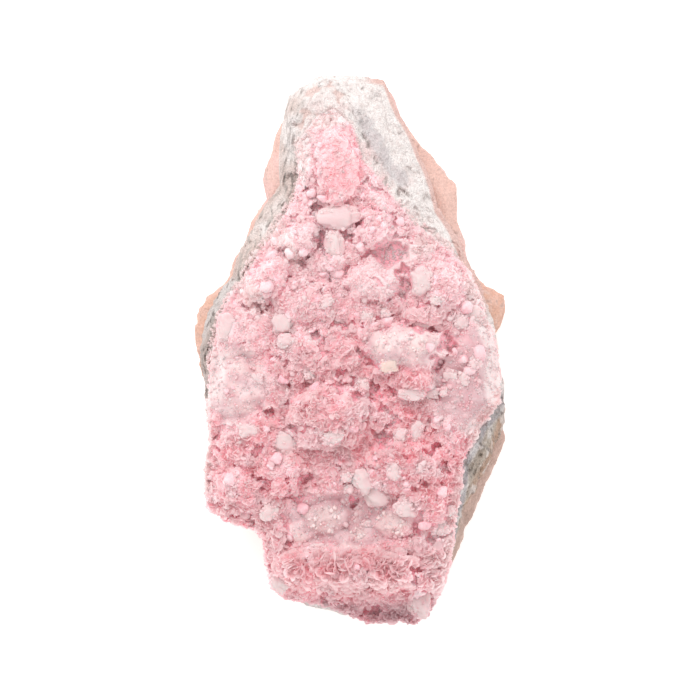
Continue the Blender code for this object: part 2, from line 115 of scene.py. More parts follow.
# Hollows of the crust: (x, y, half width, half length, turn in degrees, depth).
hollows = [
    (-1.0, -31.0, 11.0, 5.0, 0, 3.4), (-6.0, 26.0, 1.2, 1.5, -35, 4.0),
    (-5.2, 20.0, 1.1, 1.6, 0, 3.5), (-0.5, 20.5, 1.3, 1.4, 0, 3.5),
    (1.6, 23.0, 0.8, 1.4, 0, 3.0), (-8.8, 16.0, 1.6, 1.2, 0, 3.0),
    (3.8, 17.5, 2.2, 0.9, 0, 2.6), (10.0, 12.5, 1.3, 3.3, 0, 2.8),
    (7.5, 17.5, 3.4, 2.6, 0, 1.6), (-6.2, 3.0, 1.0, 0.9, 0, 2.0),
    (13.5, 4.0, 3.0, 0.8, 0, 2.4), (17.5, 1.0, 1.7, 2.0, 0, 3.2),
    (15.8, -2.5, 1.4, 1.4, 0, 2.8), (-2.2, -6.7, 2.1, 1.0, -30, 2.6),
    (1.2, -8.4, 1.8, 1.1, -30, 2.6), (3.4, -11.0, 0.9, 3.0, 0, 2.6),
    (4.4, -6.4, 1.1, 2.4, 0, 2.8), (5.7, -15.3, 2.5, 1.3, 25, 3.6),
    (-14.8, -11.6, 1.7, 0.8, 0, 2.0), (-15.0, -24.5, 1.2, 1.2, 0, 2.4),
    (0.2, -19.5, 1.2, 1.0, 0, 2.0), (14.7, -18.2, 1.6, 1.2, 0, 2.0),
    (12.0, -32.5, 1.1, 1.2, 0, 2.4), (15.0, -35.0, 1.6, 1.4, 0, 2.6),
    (0.6, -27.2, 1.2, 1.8, 0, 1.8), (12.0, -39.8, 1.1, 1.0, 0, 2.2),
    (3.8, -47.6, 2.2, 1.2, 0, 1.6), (-16.6, 7.6, 3.2, 0.9, -10, 2.2),
    (-8.2, -23.5, 2.0, 1.5, 0, 1.4),
]
# Milky knobs on the crust: (x, y, half width, half length, turn in degrees).
knobs = [
    (-2.0, 24.0, 3.4, 2.0, 5), (-2.8, 19.2, 1.5, 2.3, 0), (-12.2, 5.2, 1.9, 2.4, -20),
    (-11.5, 1.7, 1.3, 1.3, 0), (-11.9, -16.7, 2.4, 2.3, 30), (2.4, -23.2, 2.0, 2.4, 35),
    (4.7, -26.3, 2.0, 2.6, 35), (13.0, 12.4, 1.9, 2.4, 10), (7.0, -2.8, 1.5, 1.2, 0),
    (11.4, -7.8, 2.2, 1.3, 0), (14.6, -7.6, 1.4, 1.2, 0), (12.0, -14.6, 1.4, 1.9, -30),
    (9.2, -15.4, 1.3, 1.2, 0), (12.8, 4.8, 1.4, 1.3, 0), (16.4, -32.4, 1.5, 1.5, 0),
    (-14.6, -29.6, 1.5, 1.5, 0), (-22.4, 3.8, 1.8, 2.5, 10), (12.9, -45.6, 2.2, 2.9, 0),
    (7.8, -22.0, 1.3, 1.3, 0), (-12.6, -42.2, 1.5, 1.7, 0), (2.4, -6.0, 1.1, 1.2, 0),
    (22.8, 6.6, 1.5, 1.4, 0), (10.2, -28.4, 2.1, 1.5, -10),
    (-0.4, -22.9, 1.0, 0.9, 0), (-0.3, -25.0, 0.8, 0.8, 0), (3.4, -31.6, 1.1, 0.8, 0),
    (1.5, -29.0, 0.6, 0.7, 0), (-6.0, -35.8, 1.1, 0.8, 0), (5.3, -28.6, 0.9, 0.6, 0),
    (18.0, -29.3, 1.0, 1.1, 0), (12.7, -21.4, 0.9, 0.9, 0), (18.2, -4.6, 1.2, 1.1, 0),
    (20.7, -5.3, 1.0, 1.1, 0), (22.6, -2.4, 1.2, 1.3, 0), (17.0, -7.6, 0.8, 0.8, 0),
    (20.2, 5.2, 1.1, 1.2, 0), (15.6, 9.0, 1.1, 0.9, 0), (3.0, 6.2, 1.0, 0.9, 0),
    (-4.4, 8.8, 1.3, 1.0, 20), (-18.2, -14.6, 1.8, 1.3, 0), (-3.0, -15.6, 1.8, 1.2, 15),
    (6.4, 6.8, 0.9, 0.9, 0), (-16.8, -5.2, 0.9, 1.0, 0), (-7.6, -4.4, 0.9, 0.8, 0),
]
# Pale lumps dotted with small balls, in the hollow above the foot and on the frosted hump.
sugarLumps = [
    (-4.6, -30.8, 3.4, 2.7, 0), (7.6, -31.6, 2.9, 2.3, 0), (-10.0, -34.2, 2.4, 1.5, 0),
    (-8.2, -29.6, 1.4, 1.1, 0), (1.6, -33.6, 1.7, 1.3, 0), (11.6, -34.6, 1.2, 1.3, 0),
    (7.0, 1.4, 2.6, 1.8, 20), (12.4, 0.8, 2.2, 1.8, 0),
]

# Where the crust looks different: (x, y, half width, half length, turn in degrees, strength).
frostedSpots = [
    (10.0, 0.6, 7.2, 4.2, 0, 1.0), (-21.5, -6.5, 6.5, 7.5, 0, 1.0), (-1.0, -31.0, 11.5, 5.0, 0, 1.0),
    (21.5, -5.0, 6.5, 9.5, -10, 0.9), (4.5, 12.5, 5.5, 3.2, 0, 0.5), (8.0, 17.5, 4.0, 3.0, 0, 0.9),
    (-20.5, 3.5, 4.0, 4.5, 0, 0.45), (-6.5, 42.0, 5.0, 5.0, 0, 0.5), (-8.0, 36.0, 3.0, 5.0, 0, 0.4),
    (17.0, -1.5, 4.0, 3.5, 0, 0.5), (-9.5, 20.0, 2.6, 2.2, 0, 0.5),
]
rosySpots = [
    (-2.0, 33.0, 4.5, 7.5, 0, 1.0), (-16.0, 13.0, 5.5, 6.0, 15, 0.55), (11.7, -5.3, 4.3, 2.8, 0, 0.7),
    (-14.0, 17.0, 5.0, 4.0, 0, 0.4), (8.0, -17.0, 9.0, 6.0, 0, 0.7), (14.0, -24.0, 6.0, 7.0, 0, 0.6),
    (-2.0, -41.0, 13.0, 5.0, 0, 0.8), (-16.0, -20.0, 9.0, 8.0, 0, 0.5), (5.0, -6.0, 4.0, 6.0, 0, 0.4),
    (-4.0, -13.0, 7.0, 5.0, 0, 0.1), (-1.0, 2.0, 5.0, 5.0, 0, 0.15), (3.0, 24.0, 4.0, 4.0, 0, 0.3),
]
calmSpots = [(-1.8, 32.0, 3.6, 7.0, 0, 0.8)]
# where frosted ground is pushed towards its greyer frostShade colour: partly its own mauve-grey, partly
# painted shade on the right slope and in the hollows
frostShadeSpots = [
    (21.5, -3.5, 5.5, 10.0, -10, 0.9), (-1.0, -30.5, 11.0, 4.5, 0, 0.7), (8.5, 17.5, 4.0, 3.0, 0, 0.8),
    (-21.5, -6.5, 6.5, 7.5, 0, 0.15),
]
chalkySpots = [
    (-8.6, 36.5, 1.5, 7.0, 0, 1.0), (-5.0, 42.5, 4.5, 2.2, 0, 1.0), (-19.5, 12.0, 2.0, 8.0, 38, 0.7),
    (-13.5, 22.0, 2.0, 8.0, 32, 0.7), (15.0, 20.5, 2.0, 7.0, -48, 0.6), (-24.5, -2.0, 1.6, 9.0, 6, 0.6),
    (24.0, 6.5, 1.8, 9.0, 22, 0.9), (26.6, -6.0, 2.0, 7.0, 0, 0.9), (24.2, -13.0, 2.0, 4.0, -35, 0.8),
    (18.6, -31.5, 1.1, 11.0, -9, 0.5), (-26.2, -15.0, 1.0, 13.0, 0, 0.9),
]
sugarySpots = [
    (-20.0, -4.0, 7.0, 10.0, 0, 0.9), (21.5, -3.0, 7.0, 12.0, -10, 0.9), (10.0, 1.0, 8.5, 5.5, 0, 1.0),
    (-9.0, 5.0, 5.0, 5.0, 0, 0.8), (-1.0, -30.0, 13.0, 6.0, 0, 0.9), (-22.0, -24.0, 4.0, 5.0, 0, 0.5),
    (-12.0, -18.0, 4.0, 3.5, 0, 0.6), (6.0, -25.5, 6.0, 4.0, 0, 0.7), (16.0, -31.0, 3.0, 5.0, 0, 0.6),
]
flakySpots = [(-1.0, -40.0, 13.0, 4.5, 0, 1.0), (14.5, -40.0, 3.0, 8.0, 0, 0.6)]
bladedSpots = [
    (-2.0, 32.0, 4.0, 7.0, 0, 1.0), (0.0, -6.0, 6.0, 9.0, 0, 1.0), (11.7, -5.3, 4.3, 2.8, 0, 1.0),
    (-15.0, 12.0, 4.0, 4.0, 0, 0.5), (4.5, 12.0, 4.0, 3.0, 0, 0.4),
]
# Where open gaps crowd together: (x, y, half width, half length, turn in degrees, strength).
pittedSpots = [
    (0.0, 19.0, 9.0, 8.0, 0, 0.8), (3.5, -6.0, 4.0, 8.0, 0, 0.9), (17.0, -1.0, 4.5, 5.0, 0, 0.9),
    (-6.0, 2.0, 5.0, 4.0, 0, 0.4), (14.0, -35.0, 3.0, 6.0, 0, 0.7), (-14.0, -25.0, 6.0, 4.0, 0, 0.5),
    (8.0, -15.5, 6.0, 3.0, 0, 0.8), (8.0, 15.0, 4.0, 5.0, 0, 0.6), (-14.0, -12.0, 5.0, 3.0, 0, 0.4),
]


# Shared shapes and noise.


def reach(outline, bearings):
    # distance from the centre line to an outline, joined point to point by bearing
    x, y = np.array(outline).T
    angles = np.arctan2(y, x)
    order = np.argsort(angles)
    return np.interp(bearings, angles[order], np.hypot(x, y)[order], period=2 * math.pi)


def unit(value):
    # the value held between 0 and 1
    return np.clip(value, 0.0, 1.0)


def smooth(value):
    # a soft step from 0 to 1: three times the square less twice the cube of the held value
    t = unit(value)
    return t * t * (3.0 - 2.0 * t)


def latticeValue(ix, iy, iz, seed):
    # a repeatable value from 0 to 1 for each point of a whole-number lattice, by integer mixing
    h = (ix * 374761393 + iy * 668265263 + iz * 1103515245 + seed * 362437) & 0xFFFFFFFF
    h = ((h ^ (h >> 13)) * 1274126177) & 0xFFFFFFFF
    h = ((h ^ (h >> 15)) * 461845907) & 0xFFFFFFFF
    return ((h ^ (h >> 16)) & 0xFFFFFF) / 0xFFFFFF


def valueNoise(x, y, z, size, seed):
    # lattice values blended between the eight corners of each cell, from -1 to 1
    px, py, pz = x / size, y / size, z / size
    ix, iy, iz = (np.floor(p).astype(np.int64) for p in (px, py, pz))
    fx, fy, fz = smooth(px - ix), smooth(py - iy), smooth(pz - iz)
    total = 0.0
    for dx, dy, dz in product((0, 1), repeat=3):
        share = (fx if dx else 1 - fx) * (fy if dy else 1 - fy) * (fz if dz else 1 - fz)
        total = total + share * latticeValue(ix + dx, iy + dy, iz + dz, seed)
    return 2.0 * total - 1.0


def swirlNoise(x, y, size, seed):
    # a flat noise without rows: each lattice point slopes its own way, blended between four
    px, py = x / size, y / size
    ix, iy = np.floor(px).astype(np.int64), np.floor(py).astype(np.int64)
    fx, fy = px - ix, py - iy
    total = 0.0
    for dx, dy in product((0, 1), repeat=2):
        angle = 2 * math.pi * latticeValue(ix + dx, iy + dy, 0 * ix, seed)
        slope = np.cos(angle) * (fx - dx) + np.sin(angle) * (fy - dy)
        total = total + slope * smooth(1 - np.abs(fx - dx)) * smooth(1 - np.abs(fy - dy))
    return 1.6 * total


def crestLines(x, y, size, seed):
    # winding crests, 1 along the lines where the noise changes sign and 0 away from them
    return unit(1.0 - 2.6 * np.abs(swirlNoise(x, y, size, seed)))


def fractalNoise(x, y, z, size, seed, octaves=4):
    # noise at halving sizes and strengths, added up
    total, strength, norm = 0.0, 1.0, 0.0
    for octave in range(octaves):
        total = total + strength * valueNoise(x, y, z, size / 2**octave, seed + 17 * octave)
        norm += strength
        strength *= 0.5
    return 1.6 * total / norm


def lineDistance(x, y, line):
    # distance to the nearest of the straight stretches between the points of a line: a place is
    # dropped square onto each stretch, no further along than its ends
    nearest = np.full(np.shape(x), np.inf)
    for (ax, ay), (bx, by) in zip(line, line[1:]):
        dx, dy = bx - ax, by - ay
        share = unit(((x - ax) * dx + (y - ay) * dy) / (dx**2 + dy**2))
        nearest = np.minimum(nearest, np.hypot(x - ax - share * dx, y - ay - share * dy))
    return nearest


def cellDistances(x, y, z, size, seed):
    # distance, in cells, to the nearest and second nearest of one scattered point per cell,
    # and a value from 0 to 1 that belongs to the nearest
    px, py, pz = x / size, y / size, z / size
    ix, iy, iz = (np.floor(p).astype(np.int64) for p in (px, py, pz))
    first = np.full(np.shape(px), 9.0)
    second = np.full(np.shape(px), 9.0)
    mark = np.zeros(np.shape(px))
    for dx, dy, dz in product((-1, 0, 1), repeat=3):
        cx, cy, cz = ix + dx, iy + dy, iz + dz
        qx = cx + latticeValue(cx, cy, cz, seed)
        qy = cy + latticeValue(cx, cy, cz, seed + 1)
        qz = cz + latticeValue(cx, cy, cz, seed + 2)
        d = np.sqrt((px - qx) ** 2 + (py - qy) ** 2 + (pz - qz) ** 2)
        mark = np.where(d < first, latticeValue(cx, cy, cz, seed + 3), mark)
        second = np.minimum(second, np.maximum(d, first))
        first = np.minimum(first, d)
    return first, second, mark


def domeField(x, y, size, seed):
    # rounded heads side by side: 1 at the middle of each, falling to 0 in the creases
    first, _, mark = cellDistances(x, y, 0.0 * x, size, seed)
    return unit(1.0 - (first / 0.85) ** 2) ** 0.75 * (0.75 + 0.25 * mark)


def inside(x, y, feature):
    # squared distance from a feature's centre, 1 on its edge
    cx, cy, halfWidth, halfLength, turn = feature[:5]
    c, s = math.cos(math.radians(turn)), math.sin(math.radians(turn))
    u = ((x - cx) * c + (y - cy) * s) / halfWidth
    v = ((y - cy) * c - (x - cx) * s) / halfLength
    return u * u + v * v


def spotShare(x, y, spots, wobble=0.35):
    # how much of a zone a point is in, from 0 to its strength, with a ragged soft edge
    ragged = wobble * fractalNoise(x, y, 0.0 * x, 3.0, 71)
    share = np.zeros(np.shape(x))
    for spot in spots:
        share = np.maximum(share, spot[5] * smooth(1.6 - 1.1 * inside(x, y, spot) + 1.2 * ragged))
    return share


def sugarShare(x, y):
    # where beads of sugary crystal cover the crust instead of blades: the upper part and pale
    # zones, less the bladed ones
    share = 0.85 * smooth((y - 3.0 + 4.0 * swirlNoise(x, y, 6.0, 75)) / 8.0)
    share = np.maximum(share, spotShare(x, y, sugarySpots))
    return unit(share - 0.6 * spotShare(x, y, bladedSpots) + 0.25 * swirlNoise(x, y, 3.0, 76))


# Colours: screen levels from 0 to 255 in the dictionaries, linear light in the meshes.


def sinceGrey(*levels):
    # a colour from 0 to 255 screen levels, as linear light
    c = np.array(levels, dtype=float) / 255.0
    return np.where(c <= 0.04045, c / 12.92, ((c + 0.055) / 1.055) ** 2.4)


def blendColours(first, second, share):
    # the first colour times what is left of the share, plus the second times the share
    share = np.asarray(share)[..., None]
    return first * (1.0 - share) + second * share


def mixIn(tint, piece, name, share):
    # a tint moved by a share towards one of a piece's named colours
    return blendColours(tint, sinceGrey(*piece[name]), share)


def twoTone(piece, first, second, share):
    # a share of the way between two of a piece's named colours
    return blendColours(sinceGrey(*piece[first]), sinceGrey(*piece[second]), share)


# Heights of the three layers.


def wallRockTop(x, y):
    # a shallow arch along the length, tilted a little across
    return layers["wallRockTop"] - layers["wallRockArch"] * y**2 + layers["wallRockTilt"] * x


def veinTop(x, y):
    # arched both ways and rising towards the tip
    across, along = layers["veinArch"]
    return layers["veinTop"] + layers["veinTilt"] * y - along * y**2 - across * x**2


def wayOut(x, y):
    # 0 on the centre line and 1 at the crust's rim
    return np.hypot(x, y) / reach(outlines["crust"], np.arctan2(y, x))


crustRelief = {
    "headSize": 3.6, "headHeight": 0.85,  # rounded heads of crystals, side by side
    "clusterSize": 1.5, "clusterHeight": 0.42,
    "crestSize": 1.7, "crestHeight": 0.40, "fineCrestSize": 0.8, "fineCrestHeight": 0.12,
    "gapSize": 3.2, "gapDepth": 1.0, "gapAbove": 0.42, "voidDepth": 0.6,
    "rimDrop": 1.3, "rimShare": 0.14,
}


def voidShare(x, y):
    # how much of a steep-sided void a point is in, for every hollow but the broad first one
    wx = x + 1.2 * swirlNoise(x, y, 1.5, 7)
    wy = y + 1.2 * swirlNoise(x, y, 1.5, 8)
    share = np.zeros(np.shape(x))
    for hollow in hollows[1:]:
        share = np.maximum(share, smooth((1.3 - inside(wx, wy, hollow)) / 0.9))
    return share


def crustForm(x, y):
    # an arched plateau that drops at the foot, and on it the larger of the domed mounds, less
    # the broad hollow, fading out towards the rim
    across, along = layers["crustArch"]
    plateau = layers["crustTop"] - along * y**2 - across * x**2
    plateau = plateau - layers["footDrop"] * smooth((layers["footStart"] - y) / layers["footLength"])
    wx = x + 0.9 * swirlNoise(x, y, 2.6, 5)  # bends every form a little
    wy = y + 0.9 * swirlNoise(x, y, 2.6, 6)
    domes = np.zeros(np.shape(x))
    for mound in mounds:
        domes = np.maximum(domes, mound[5] * unit(1.0 - inside(wx, wy, mound)) ** 0.65)
    broad = hollows[0][5] * np.exp(-1.2 * inside(wx, wy, hollows[0]) ** 1.5)
    rim = smooth((wayOut(x, y) - 1.0 + crustRelief["rimShare"]) / crustRelief["rimShare"])
    return plateau + (domes - broad) * (1.0 - 0.75 * rim) - crustRelief["rimDrop"] * rim


def crestHeading(x, y):
    # the direction in which a crest runs, square to the slope of the noise that makes it
    def field(px, py):
        px = px + 0.7 * swirlNoise(px, py, 1.7, 15)
        return swirlNoise(px, py + 0.7 * swirlNoise(px, py, 1.7, 16), crustRelief["crestSize"], 45)

    slopeX = field(x + 0.1, y) - field(x - 0.1, y)
    slopeY = field(x, y + 0.1) - field(x, y - 0.1)
    return np.arctan2(slopeX, -slopeY)


def crustSkin(x, y):
    # relief on the form: heads, clusters and winding crests of crystals, with open gaps between;
    # returns the relief, the share of a crest and the share of a gap or void
    calm = 1.0 - 0.8 * spotShare(x, y, frostedSpots + calmSpots)  # frosted ground is smoother
    sugar = sugarShare(x, y)
    wx = x + 0.7 * swirlNoise(x, y, 1.7, 15)
    wy = y + 0.7 * swirlNoise(x, y, 1.7, 16)
    heads = domeField(wx, wy, crustRelief["headSize"], 31) - 0.6
    clusters = domeField(wx, wy, crustRelief["clusterSize"], 41) - 0.6
    crest = crestLines(wx, wy, crustRelief["crestSize"], 45)
    fineCrest = crestLines(wx, wy, crustRelief["fineCrestSize"], 46)
    field = swirlNoise(wx, wy, crustRelief["gapSize"], 47) + 0.4 * swirlNoise(wx, wy, 1.4, 48)
    field = field + 0.28 * spotShare(x, y, pittedSpots)
    void = voidShare(x, y)
    gap = smooth((field - crustRelief["gapAbove"]) / 0.10) * calm * (1.0 - 0.35 * sugar)
    gap = np.maximum(gap, void)
    relief = crustRelief["clusterHeight"] * (1.0 + 0.2 * sugar) * clusters
    relief = crustRelief["headHeight"] * heads + relief
    crests = crustRelief["crestHeight"] * crest + crustRelief["fineCrestHeight"] * fineCrest
    relief = relief + (1.0 - 0.7 * sugar) * crests
    relief = calm * (1.0 - gap) * relief
    relief = relief - crustRelief["gapDepth"] * gap - crustRelief["voidDepth"] * void
    relief = relief + 0.08 * fractalNoise(x, y, 0.0 * x, 0.6, 51, 2)
    light = (1.0 - sugar) * (0.65 * crest + 0.35 * fineCrest + 0.35 * clusters)
    light = light + sugar * (0.55 + 0.75 * clusters + 0.35 * heads)
    return relief, unit(light), gap


def crustTop(x, y):
    # the form plus the relief, which is weaker in the last stretch before the rim
    edge = smooth((wayOut(x, y) - 0.97) / 0.03)
    return crustForm(x, y) + (1.0 - 0.6 * edge) * crustSkin(x, y)[0]


def crustNormal(x, y, step=0.2):
    # the upward normal, from the height a little to each side
    slopeX = (crustTop(x + step, y) - crustTop(x - step, y)) / (2 * step)
    slopeY = (crustTop(x, y + step) - crustTop(x, y - step)) / (2 * step)
    normal = np.stack([-slopeX, -slopeY, np.ones(np.shape(x))], axis=-1)
    return normal / np.linalg.norm(normal, axis=-1, keepdims=True)


# the averaged crust from which openness is measured, used to paint shade into creases and light onto
# crests
openGround = {"step": 0.2, "spread": 0.5, "halfWidth": 32.0, "halfLength": 54.0}


def runningMean(z, half):
    # the mean of each value and its neighbours down a column, from differences of a running sum
    padded = np.pad(z, ((half + 1, half), (0, 0)), mode="edge").cumsum(0)
    return (padded[2 * half + 1:] - padded[:-2 * half - 1]) / (2 * half + 1)


def averagedTop():
    # the crust's height on a flat grid, smeared by running means along each way in turn
    step, wide, long = openGround["step"], openGround["halfWidth"], openGround["halfLength"]
    z = crustTop(*np.meshgrid(np.arange(-wide, wide, step), np.arange(-long, long, step)))
    for _ in range(6):
        z = runningMean(z, int(openGround["spread"] / step)).T
    return z


averaged = averagedTop()


def openness(x, y, z):
    # height over the averaged crust: below 0 in a crease or gap, above 0 on a crest
    px = np.clip((x + openGround["halfWidth"]) / openGround["step"], 0, averaged.shape[1] - 2.001)
    py = np.clip((y + openGround["halfLength"]) / openGround["step"], 0, averaged.shape[0] - 2.001)
    ix, iy = px.astype(np.int64), py.astype(np.int64)
    fx, fy = px - ix, py - iy
    low = averaged[iy, ix] * (1 - fx) + averaged[iy, ix + 1] * fx
    high = averaged[iy + 1, ix] * (1 - fx) + averaged[iy + 1, ix + 1] * fx
    return z - low * (1 - fy) - high * fy


# Meshes.


def makePiece(name, points, faces, material, tint):
    # one mesh from whole arrays: points in mm, faces all with the same number of corners;
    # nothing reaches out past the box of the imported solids
    mesh = bpy.data.meshes.new(name)
    low, high = np.array(cadBox) / mm
    points = np.clip(points, low, high)
    corners = faces.shape[1]
    mesh.vertices.add(len(points))
    mesh.vertices.foreach_set("co", (points * mm).astype(np.float32).ravel())
    mesh.loops.add(faces.size)
    mesh.loops.foreach_set("vertex_index", faces.astype(np.int32).ravel())
    mesh.polygons.add(len(faces))
    mesh.polygons.foreach_set("loop_start", np.arange(0, faces.size, corners, dtype=np.int32))
    mesh.update(calc_edges=True)
    mesh.validate()
    mesh.shade_smooth()
    rgba = np.ones((len(points), 4), dtype=np.float32)
    rgba[:, :3] = tint
    mesh.color_attributes.new("tint", "FLOAT_COLOR", "POINT").data.foreach_set("color", rgba.ravel())
    mesh.materials.append(material)
    piece = bpy.data.objects.new(name, mesh)
    bpy.context.scene.collection.objects.link(piece)
    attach(piece, "root")
    print(f"{name}: {len(faces) * (corners - 2)} triangles")
    return piece


def ringFaces(rings, around):
    # quads between neighbouring rings of one closed surface; the two ends are closed by poles
    r, a = np.meshgrid(np.arange(rings - 1), np.arange(around), indexing="ij")
    b = (a + 1) % around
    low, high = r * around, (r + 1) * around
    return np.stack([low + a, low + b, high + b, high + a], -1).reshape(-1, 4)


def closedRings(x, y, z):
    # points and triangles of a body made of rings from its underside's middle, out, and over
    # the top, with a fan to a pole at each end
    rings, around = x.shape
    points = np.stack([x, y, z], -1).reshape(-1, 3)
    quads = ringFaces(rings, around)
    triangles = np.vstack([quads[:, [0, 1, 2]], quads[:, [0, 2, 3]]])
    a = np.arange(around)
    b = (a + 1) % around
    last = (rings - 1) * around
    lowFan = np.stack([b, a, np.full(around, len(points))], -1)
    highFan = np.stack([last + a, last + b, np.full(around, len(points) + 1)], -1)
    poles = [points[:around].mean(0), points[-around:].mean(0)]
    return np.vstack([points, *poles]), np.vstack([triangles, lowFan, highFan])


def ringsBetween(profile):
    # straight steps from each row of a profile to the next: a row is radius, height and the
    # number of rings before the next row, and the last row is one ring
    radii, heights = [], []
    for (r0, z0, steps), (r1, z1, _) in zip(profile, profile[1:] + profile[-1:]):
        share = (np.arange(steps) / steps)[:, None]
        radii.append(r0 + share * (r1 - r0))
        heights.append(z0 + share * (z1 - z0))
    return np.vstack(radii), np.vstack(heights)


def ballGrid(around, up):
    # latitudes and longitudes of a ball's points, without its poles
    longitude = np.linspace(0, 2 * math.pi, around, endpoint=False)
    latitude = np.linspace(-0.5, 0.5, up + 2)[1:-1] * math.pi
    return np.meshgrid(latitude, longitude, indexing="ij")


def copyCorners(shape, frames, centres):
    # every copy of a small shape: its points turned and stretched by the copy's frame, and moved
    return np.einsum("nij,kj->nki", frames, shape) + centres[:, None, :]


def addCopies(name, material, corners, faces, tint):
    # one piece of all copies: their points in a row, and the faces numbered on from copy to copy
    offsets = np.arange(len(corners))[:, None, None] * corners.shape[1]
    makePiece(name, corners.reshape(-1, 3), (faces[None] + offsets).reshape(-1, faces.shape[1]),
              material, tint.reshape(-1, 3))


# Materials.


def setInputs(node, values):
    # each named input of a node gets its value
    for name, value in values.items():
        node.inputs[name].default_value = value


def tintedMaterial(name, look):
    # a material with the nodes that both kinds share: the piece's own tint, places on the
    # object for the grain, and a bump that the shader reads
    material = bpy.data.materials.new(name)
    material.use_nodes = True
    nodes, links = material.node_tree.nodes, material.node_tree.links
    shader = nodes["Principled BSDF"]
    setInputs(shader, {"Roughness": look["roughness"]})
    tint = nodes.new("ShaderNodeAttribute")
    tint.attribute_name = "tint"
    place = nodes.new("ShaderNodeTexCoord")
    bump = nodes.new("ShaderNodeBump")
    setInputs(bump, {"Distance": look["grainDepth"] * mm})
    links.new(bump.outputs["Normal"], shader.inputs["Normal"])
    return material, shader, tint.outputs["Color"], place.outputs["Object"], bump


# What every crystal's look has, unless the piece's own look says otherwise.
crystalLook = {
    "index": 1.45, "shine": 0.15, "glow": 0.0, "glowReach": 1.0, "glowColour": (1.0, 0.7, 0.72),
    "through": 0.0,
}


def crystalMaterial(name, look):
    # colour from the piece's own tint with a fine grain; light scatters inside a thick piece
    # (glow) or comes through a thin one (through)
    look = {**crystalLook, **look}
    material, shader, tint, place, bump = tintedMaterial(name, look)
    nodes, links = material.node_tree.nodes, material.node_tree.links
    speckle = nodes.new("ShaderNodeTexNoise")
    setInputs(speckle, {"Scale": 1.0 / (look["grain"] * mm), "Detail": 3.0})
    links.new(place, speckle.inputs["Vector"])
    links.new(speckle.outputs["Fac"], bump.inputs["Height"])
    links.new(tint, shader.inputs["Base Color"])
    setInputs(shader, {
        "IOR": look["index"], "Specular IOR Level": look["shine"],
        "Subsurface Weight": look["glow"], "Subsurface Radius": look["glowColour"],
        "Subsurface Scale": look["glowReach"] * mm,
    })
    if look["through"] > 0:
        through = nodes.new("ShaderNodeBsdfTranslucent")
        mix = nodes.new("ShaderNodeMixShader")
        setInputs(mix, {"Fac": look["through"]})
        links.new(tint, through.inputs["Color"])
        links.new(shader.outputs["BSDF"], mix.inputs[1])
        links.new(through.outputs["BSDF"], mix.inputs[2])
        links.new(mix.outputs["Shader"], nodes["Material Output"].inputs["Surface"])
    return material


def rockMaterial(name, look):
    # matt rock: the piece's own tint made darker and lighter in specks, and a bump that adds
    # up a fine noise and the distance in coarser cells
    material, shader, tint, place, bump = tintedMaterial(name, look)
    nodes, links = material.node_tree.nodes, material.node_tree.links
    fine = nodes.new("ShaderNodeTexNoise")
    setInputs(fine, {"Scale": 1.0 / (look["grain"] * mm), "Detail": 5.0, "Roughness": 0.65})
    cells = nodes.new("ShaderNodeTexVoronoi")
    setInputs(cells, {"Scale": 0.6 / (look["grain"] * mm)})
    for texture in (fine, cells):
        links.new(place, texture.inputs["Vector"])
    value = nodes.new("ShaderNodeMapRange")
    setInputs(value, {"From Min": 0.25, "From Max": 0.75})
    setInputs(value, {"To Min": 1.0 - look["specks"], "To Max": 1.0 + 0.6 * look["specks"]})
    links.new(fine.outputs["Fac"], value.inputs["Value"])
    shift = nodes.new("ShaderNodeHueSaturation")
    links.new(value.outputs["Result"], shift.inputs["Value"])
    links.new(tint, shift.inputs["Color"])
    links.new(shift.outputs["Color"], shader.inputs["Base Color"])
    height = nodes.new("ShaderNodeMath")
    height.operation = "ADD"
    links.new(fine.outputs["Fac"], height.inputs[0])
    links.new(cells.outputs["Distance"], height.inputs[1])
    links.new(height.outputs["Value"], bump.inputs["Height"])
    return material


# Wall rock.
wallRock = {
    "around": 760, "chip": 1.1, "chipSize": 7.0, "grit": 0.28,
    "tanRightOf": 5.0, "tanBelow": -8.0, "orangeBelow": 16.0,
    "salmon": (238, 198, 186), "pink": (240, 198, 192), "tan": (206, 176, 164),
    "pale": (242, 218, 210), "orange": (226, 176, 150), "dark": (160, 116, 104),
    "look": {"roughness": 0.86, "grain": 0.35, "grainDepth": 0.22, "specks": 0.22},
}


def shapeWallRock():
    # rings out over the flat back, up the broken side and in over the top, bent by noise
    bearings = np.linspace(-math.pi, math.pi, wallRock["around"], endpoint=False)
    c, s = np.cos(bearings), np.sin(bearings)
    edge = reach(outlines["wallRock"], bearings)
    chip = wallRock["chip"] * fractalNoise(edge * c, edge * s, 0 * c, wallRock["chipSize"], 20, 3)
    shoulder = np.maximum(reach(outlines["vein"], bearings) - 1.0, edge - 3.6)
    shoulder = np.minimum(edge - 0.4, shoulder)
    seat = layers["seatShare"] * edge + chip
    exposed = smooth((edge - shoulder - 0.5) / 2.0)

    def top(radius):
        return wallRockTop(radius * c, radius * s)

    r, z = ringsBetween([
        (0.03 * seat, 0 * edge, 40), (seat - 0.5, 0 * edge, 2), (seat, 0.1 + 0 * edge, 12),
        (0.5 * (seat + edge) + 0.6, 0.4 * layers["widestAt"] + 0 * edge, 14),
        (edge, layers["widestAt"] + chip, 16), (edge - 0.2, top(edge) - 0.4 - 1.6 * exposed, 18),
        (shoulder, top(shoulder) - 0.2 * exposed, 6), (0.15 * edge, top(0.15 * edge), 1),
    ])
    x, y = r * c, r * s
    side = smooth(z / 1.2) * smooth((r - 0.5 * edge) / 6.0)  # no relief on the flat back
    first, second, mark = cellDistances(x, y, z, 4.0, 81)
    facets = (mark - 0.5) * smooth((second - first) / 0.25)  # broken faces, stepped at their edges
    grit = wallRock["grit"] * fractalNoise(x, y, z, 1.4, 91, 4) + 0.25 * fractalNoise(x, y, z, 4.0, 95, 3)
    r = r + side * (0.7 * facets + grit - 0.35)
    z = z + side * (0.5 * grit) * smooth((top(edge) - z) / 1.0 + 0.6)
    return r * c, r * s, z


